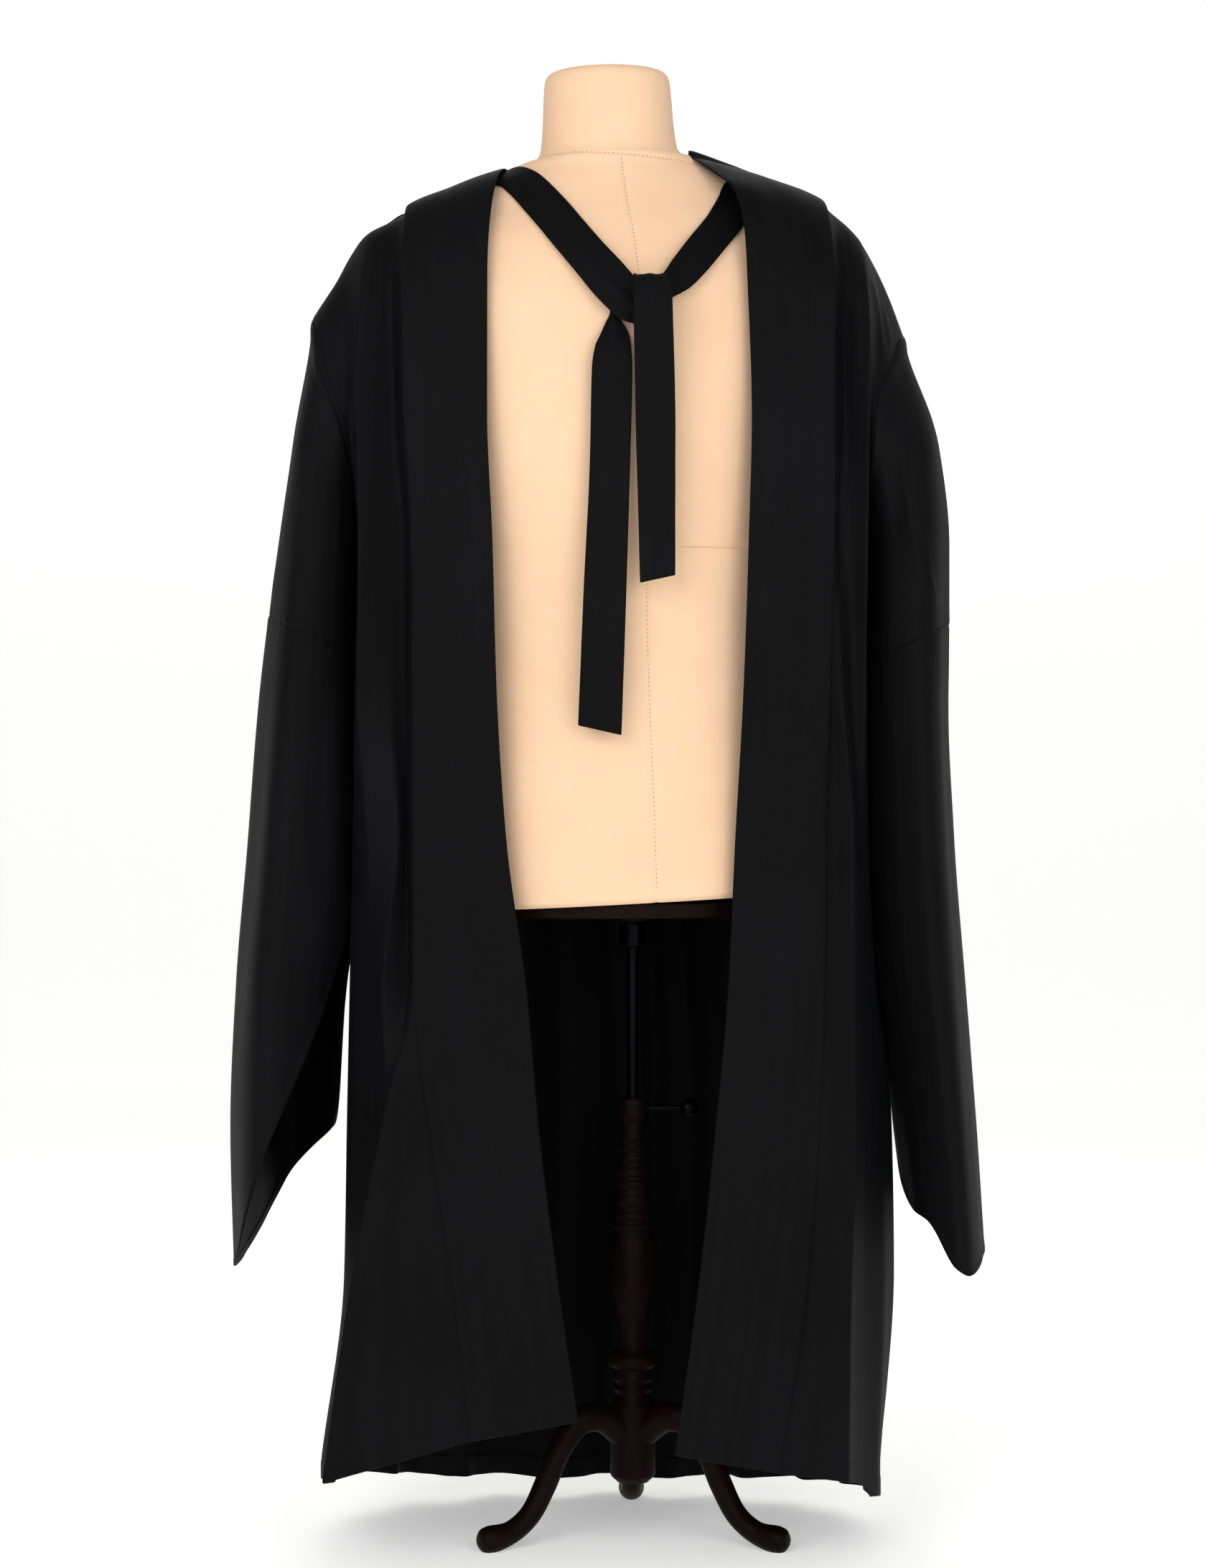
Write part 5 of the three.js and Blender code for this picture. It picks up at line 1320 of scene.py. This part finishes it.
# Stand: turned post with three legs, rod, flange, clamp screw and the form's board

postX, rodRadius, boreGap = 25, 6, 0.08
boardTop, boardThick = formBottom - 0.3, 14
flangeTop = boardTop - boardThick - 0.3


def deselectAll():
    if bpy.context.object and bpy.context.object.mode != "OBJECT":
        bpy.ops.object.mode_set(mode="OBJECT")
    bpy.ops.object.select_all(action="DESELECT")


def startRing(radius, sides, place, rotation=(0, 0, 0)):  # a filled ring, left selected in edit mode
    deselectAll()
    bpy.ops.mesh.primitive_circle_add(
        vertices=sides, radius=radius / 1000, fill_type="NGON", location=metres(*place), rotation=rotation)
    made = bpy.context.object
    bpy.ops.object.transform_apply(location=True, rotation=True, scale=True)
    bpy.ops.object.mode_set(mode="EDIT")
    bpy.ops.mesh.select_all(action="SELECT")
    return made


def drawOn(x, y, z):
    bpy.ops.mesh.extrude_region_move(TRANSFORM_OT_translate={"value": metres(x, y, z)})


def closeRing():
    bpy.ops.mesh.select_all(action="SELECT")
    bpy.ops.mesh.normals_make_consistent(inside=False)
    bpy.ops.object.mode_set(mode="OBJECT")


def softenEdges(made, width, segments, limit):
    soft = made.modifiers.new("softEdges", "BEVEL")
    soft.width, soft.segments = width / 1000, segments
    soft.limit_method, soft.angle_limit = "ANGLE", math.radians(limit)
    bpy.ops.object.modifier_apply(modifier="softEdges")


def finishHard(made, name, material, body, replaced, angle=35):
    deselectAll()
    made.select_set(True)
    bpy.context.view_layer.objects.active = made
    made.name = name
    made.data.name = name
    bpy.ops.object.transform_apply(location=True, rotation=True, scale=True)
    bpy.ops.object.shade_smooth_by_angle(angle=math.radians(angle))
    made.data.materials.clear()
    made.data.materials.append(material)
    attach(made, body)
    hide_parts(replaced)


# A round piece drawn up or down from its first ring, ring by ring: profile is a list of (radius, height)
def turnPiece(profile, sides, x, y):
    made = startRing(profile[0][0], sides, (x, y, profile[0][1]))
    for (r0, z0), (r1, z1) in zip(profile[:-1], profile[1:]):
        drawOn(0, 0, z1 - z0)
        bpy.ops.transform.resize(value=(r1 / r0, r1 / r0, 1), center_override=metres(x, y, z1))
    closeRing()
    return made


postProfile = table("z r", [
    (424, 14.5), (421, 16), (405, 16), (401, 12.5), (386, 12.5), (383, 15), (379, 12.5), (375, 15.5), (371, 13),
    (366, 16), (361, 13.5), (352, 18), (347, 15), (342, 19), (336, 16), (325, 20), (318, 17), (310, 21),
    (305, 18.5), (300, 22), (296, 19.5), (286, 23), (265, 24.5), (245, 24), (228, 20), (206, 15.5), (184, 14.5),
    (177, 19), (172, 24), (165, 24), (160, 18), (151, 19.5), (146, 16.5), (141, 19.5), (137, 17), (130, 19),
    (124, 22), (58, 22), (50, 15),
])
standUser = {
    "postSides": 48, "profileStep": 1.6, "boreFloor": 232, "flangeSides": 48,
    "rodSides": 40, "rodFloor": 240, "flat": 5, "flatShort": 40, "screwSides": 40, "screwZ": 414,
    "boardSides": 120, "boardInset": 6, "boardRound": 1.5,
    "legAngles": (210, 330, 90), "legStations": 56, "legSides": 24,
}


def addPost(user):
    read = track(postProfile, "z", "r")
    foot, top = postProfile[-1]["z"], postProfile[0]["z"]
    outside = [(float(read(z)), float(z)) for z in np.arange(foot, top, user["profileStep"])]
    rim, bore = postProfile[0]["r"], rodRadius + boreGap
    profile = outside + [(rim, top), (rim - 1.1, top), (bore, top), (bore, user["boreFloor"])]
    made = turnPiece(profile, user["postSides"], postX, centring)
    finishHard(made, "standPost", woodMaterial, "stand", "stand_post", 50)


def addFlange(user):
    top, bore = flangeTop, rodRadius + boreGap
    profile = [(33, top), (34, top - 0.8), (34, top - 4.2), (33.2, top - 5), (15, top - 8), (13, top - 10),
               (13, top - 29), (12.2, top - 30), (bore, top - 30), (bore, top - 6)]
    made = turnPiece(profile, user["flangeSides"], postX, centring)
    finishHard(made, "rodFlange", steelMaterial, gownBody, "rod_flange")


def addRod(user):
    top = flangeTop - 6.3
    deselectAll()
    bpy.ops.mesh.primitive_cylinder_add(
        vertices=user["rodSides"], radius=rodRadius / 1000, depth=(top - user["rodFloor"]) / 1000,
        location=metres(postX, centring, (top + user["rodFloor"]) / 2))
    rod = bpy.context.object
    deselectAll()
    length = top - user["rodFloor"] - user["flatShort"]
    bpy.ops.mesh.primitive_cube_add(  # its left side cuts the flat, and it stands 10 mm past the rod's lower end
        size=1, location=metres(postX + user["flat"] + 5, centring, user["rodFloor"] + length / 2 - 5),
        scale=metres(10, 24, length + 10))
    cutter = bpy.context.object
    deselectAll()
    rod.select_set(True)
    bpy.context.view_layer.objects.active = rod
    cut = rod.modifiers.new("flat", "BOOLEAN")
    cut.object = cutter
    cut.operation = "DIFFERENCE"
    cut.solver = "EXACT"
    bpy.ops.object.modifier_apply(modifier="flat")
    bpy.data.objects.remove(cutter)
    softenEdges(rod, 0.4, 2, 40)
    finishHard(rod, "standRod", steelMaterial, gownBody, "stand_rod")


def addScrew(user):
    profile = [(2.6, 5.3), (3, 5.8), (3, 46), (5, 47), (7.2, 49), (8.5, 51), (9, 53.4), (9, 56), (8.6, 59),
               (7.6, 61.4), (5.8, 63.2), (3.4, 64.2), (1, 64.5)]
    made = turnPiece(profile, user["screwSides"], 0, 0)
    bpy.ops.object.mode_set(mode="EDIT")
    bpy.ops.mesh.select_all(action="SELECT")
    bpy.ops.transform.rotate(value=-math.pi / 2, orient_axis="Y", center_override=(0, 0, 0))
    bpy.ops.transform.translate(value=metres(postX, centring, user["screwZ"]))
    bpy.ops.object.mode_set(mode="OBJECT")
    finishHard(made, "clampScrew", steelMaterial, "clamp", "clamp_screw")


def addBoard(user):  # a disc drawn out to the form's oval, then down to its thickness
    wide, deep = [formRings[0][c] - user["boardInset"] for c in ("wide", "deep")]
    place = (formCentreX(formBottom), centring, boardTop)
    made = startRing(wide, user["boardSides"], place)
    bpy.ops.transform.resize(value=(1, deep / wide, 1), center_override=metres(*place))
    bpy.ops.transform.rotate(value=-turn, orient_axis="Z", center_override=metres(*place))
    drawOn(0, 0, -boardThick)
    closeRing()
    softenEdges(made, user["boardRound"], 3, 60)
    finishHard(made, "formBoard", woodMaterial, gownBody, "form_board")


legPath = table("out z r", [
    (12, 100, 15), (36, 116, 14.5), (60, 114, 13.5), (82, 90, 12), (98, 56, 11), (115, 29, 10.5), (136, 15, 11),
    (158, 11, 13), (165, 11, 11.2), (169, 11, 6.5),
])


def addLeg(user):  # one ring drawn along the leg's curve, turned and resized on the way, and cut flat at the floor
    path = np.array([[(row["out"], row["r"], row["z"]) for row in legPath]], float)
    stations = throughPoints(path, np.linspace(0, 1, user["legStations"]))[0]
    run = np.gradient(stations, axis=0)
    lean = np.arctan2(run[:, 0], run[:, 2])  # from upright, about Y
    out, radius, high = stations[0]
    made = startRing(radius, user["legSides"], (out, 0, high), (0, lean[0], 0))
    for last, spot, bend in zip(stations[:-1], stations[1:], np.diff(lean)):
        size, middle = float(spot[1] / last[1]), metres(spot[0], 0, spot[2])
        drawOn(spot[0] - last[0], 0, spot[2] - last[2])
        bpy.ops.transform.rotate(value=-float(bend), orient_axis="Y", center_override=middle)
        bpy.ops.transform.resize(value=(size, size, size), center_override=middle)
    bpy.ops.mesh.select_all(action="SELECT")
    bpy.ops.mesh.bisect(plane_co=(0, 0, 0), plane_no=(0, 0, -1), use_fill=True, clear_outer=True)
    closeRing()
    return made


def addLegs(user):
    first = addLeg(user)
    legs = [first]
    for _ in user["legAngles"][1:]:
        leg = bpy.data.objects.new("standLeg", first.data.copy())
        bpy.context.scene.collection.objects.link(leg)
        legs.append(leg)
    for i, (leg, degrees) in enumerate(zip(legs, user["legAngles"])):
        leg.location = metres(postX, centring, 0)
        leg.rotation_euler = (0, 0, math.radians(degrees))
        finishHard(leg, f"standLeg{i + 1}", woodMaterial, "stand", f"stand_leg_{i + 1}", 60)


for addPiece in (addPost, addFlange, addRod, addScrew, addBoard, addLegs):
    addPiece(standUser)
print("stand made")
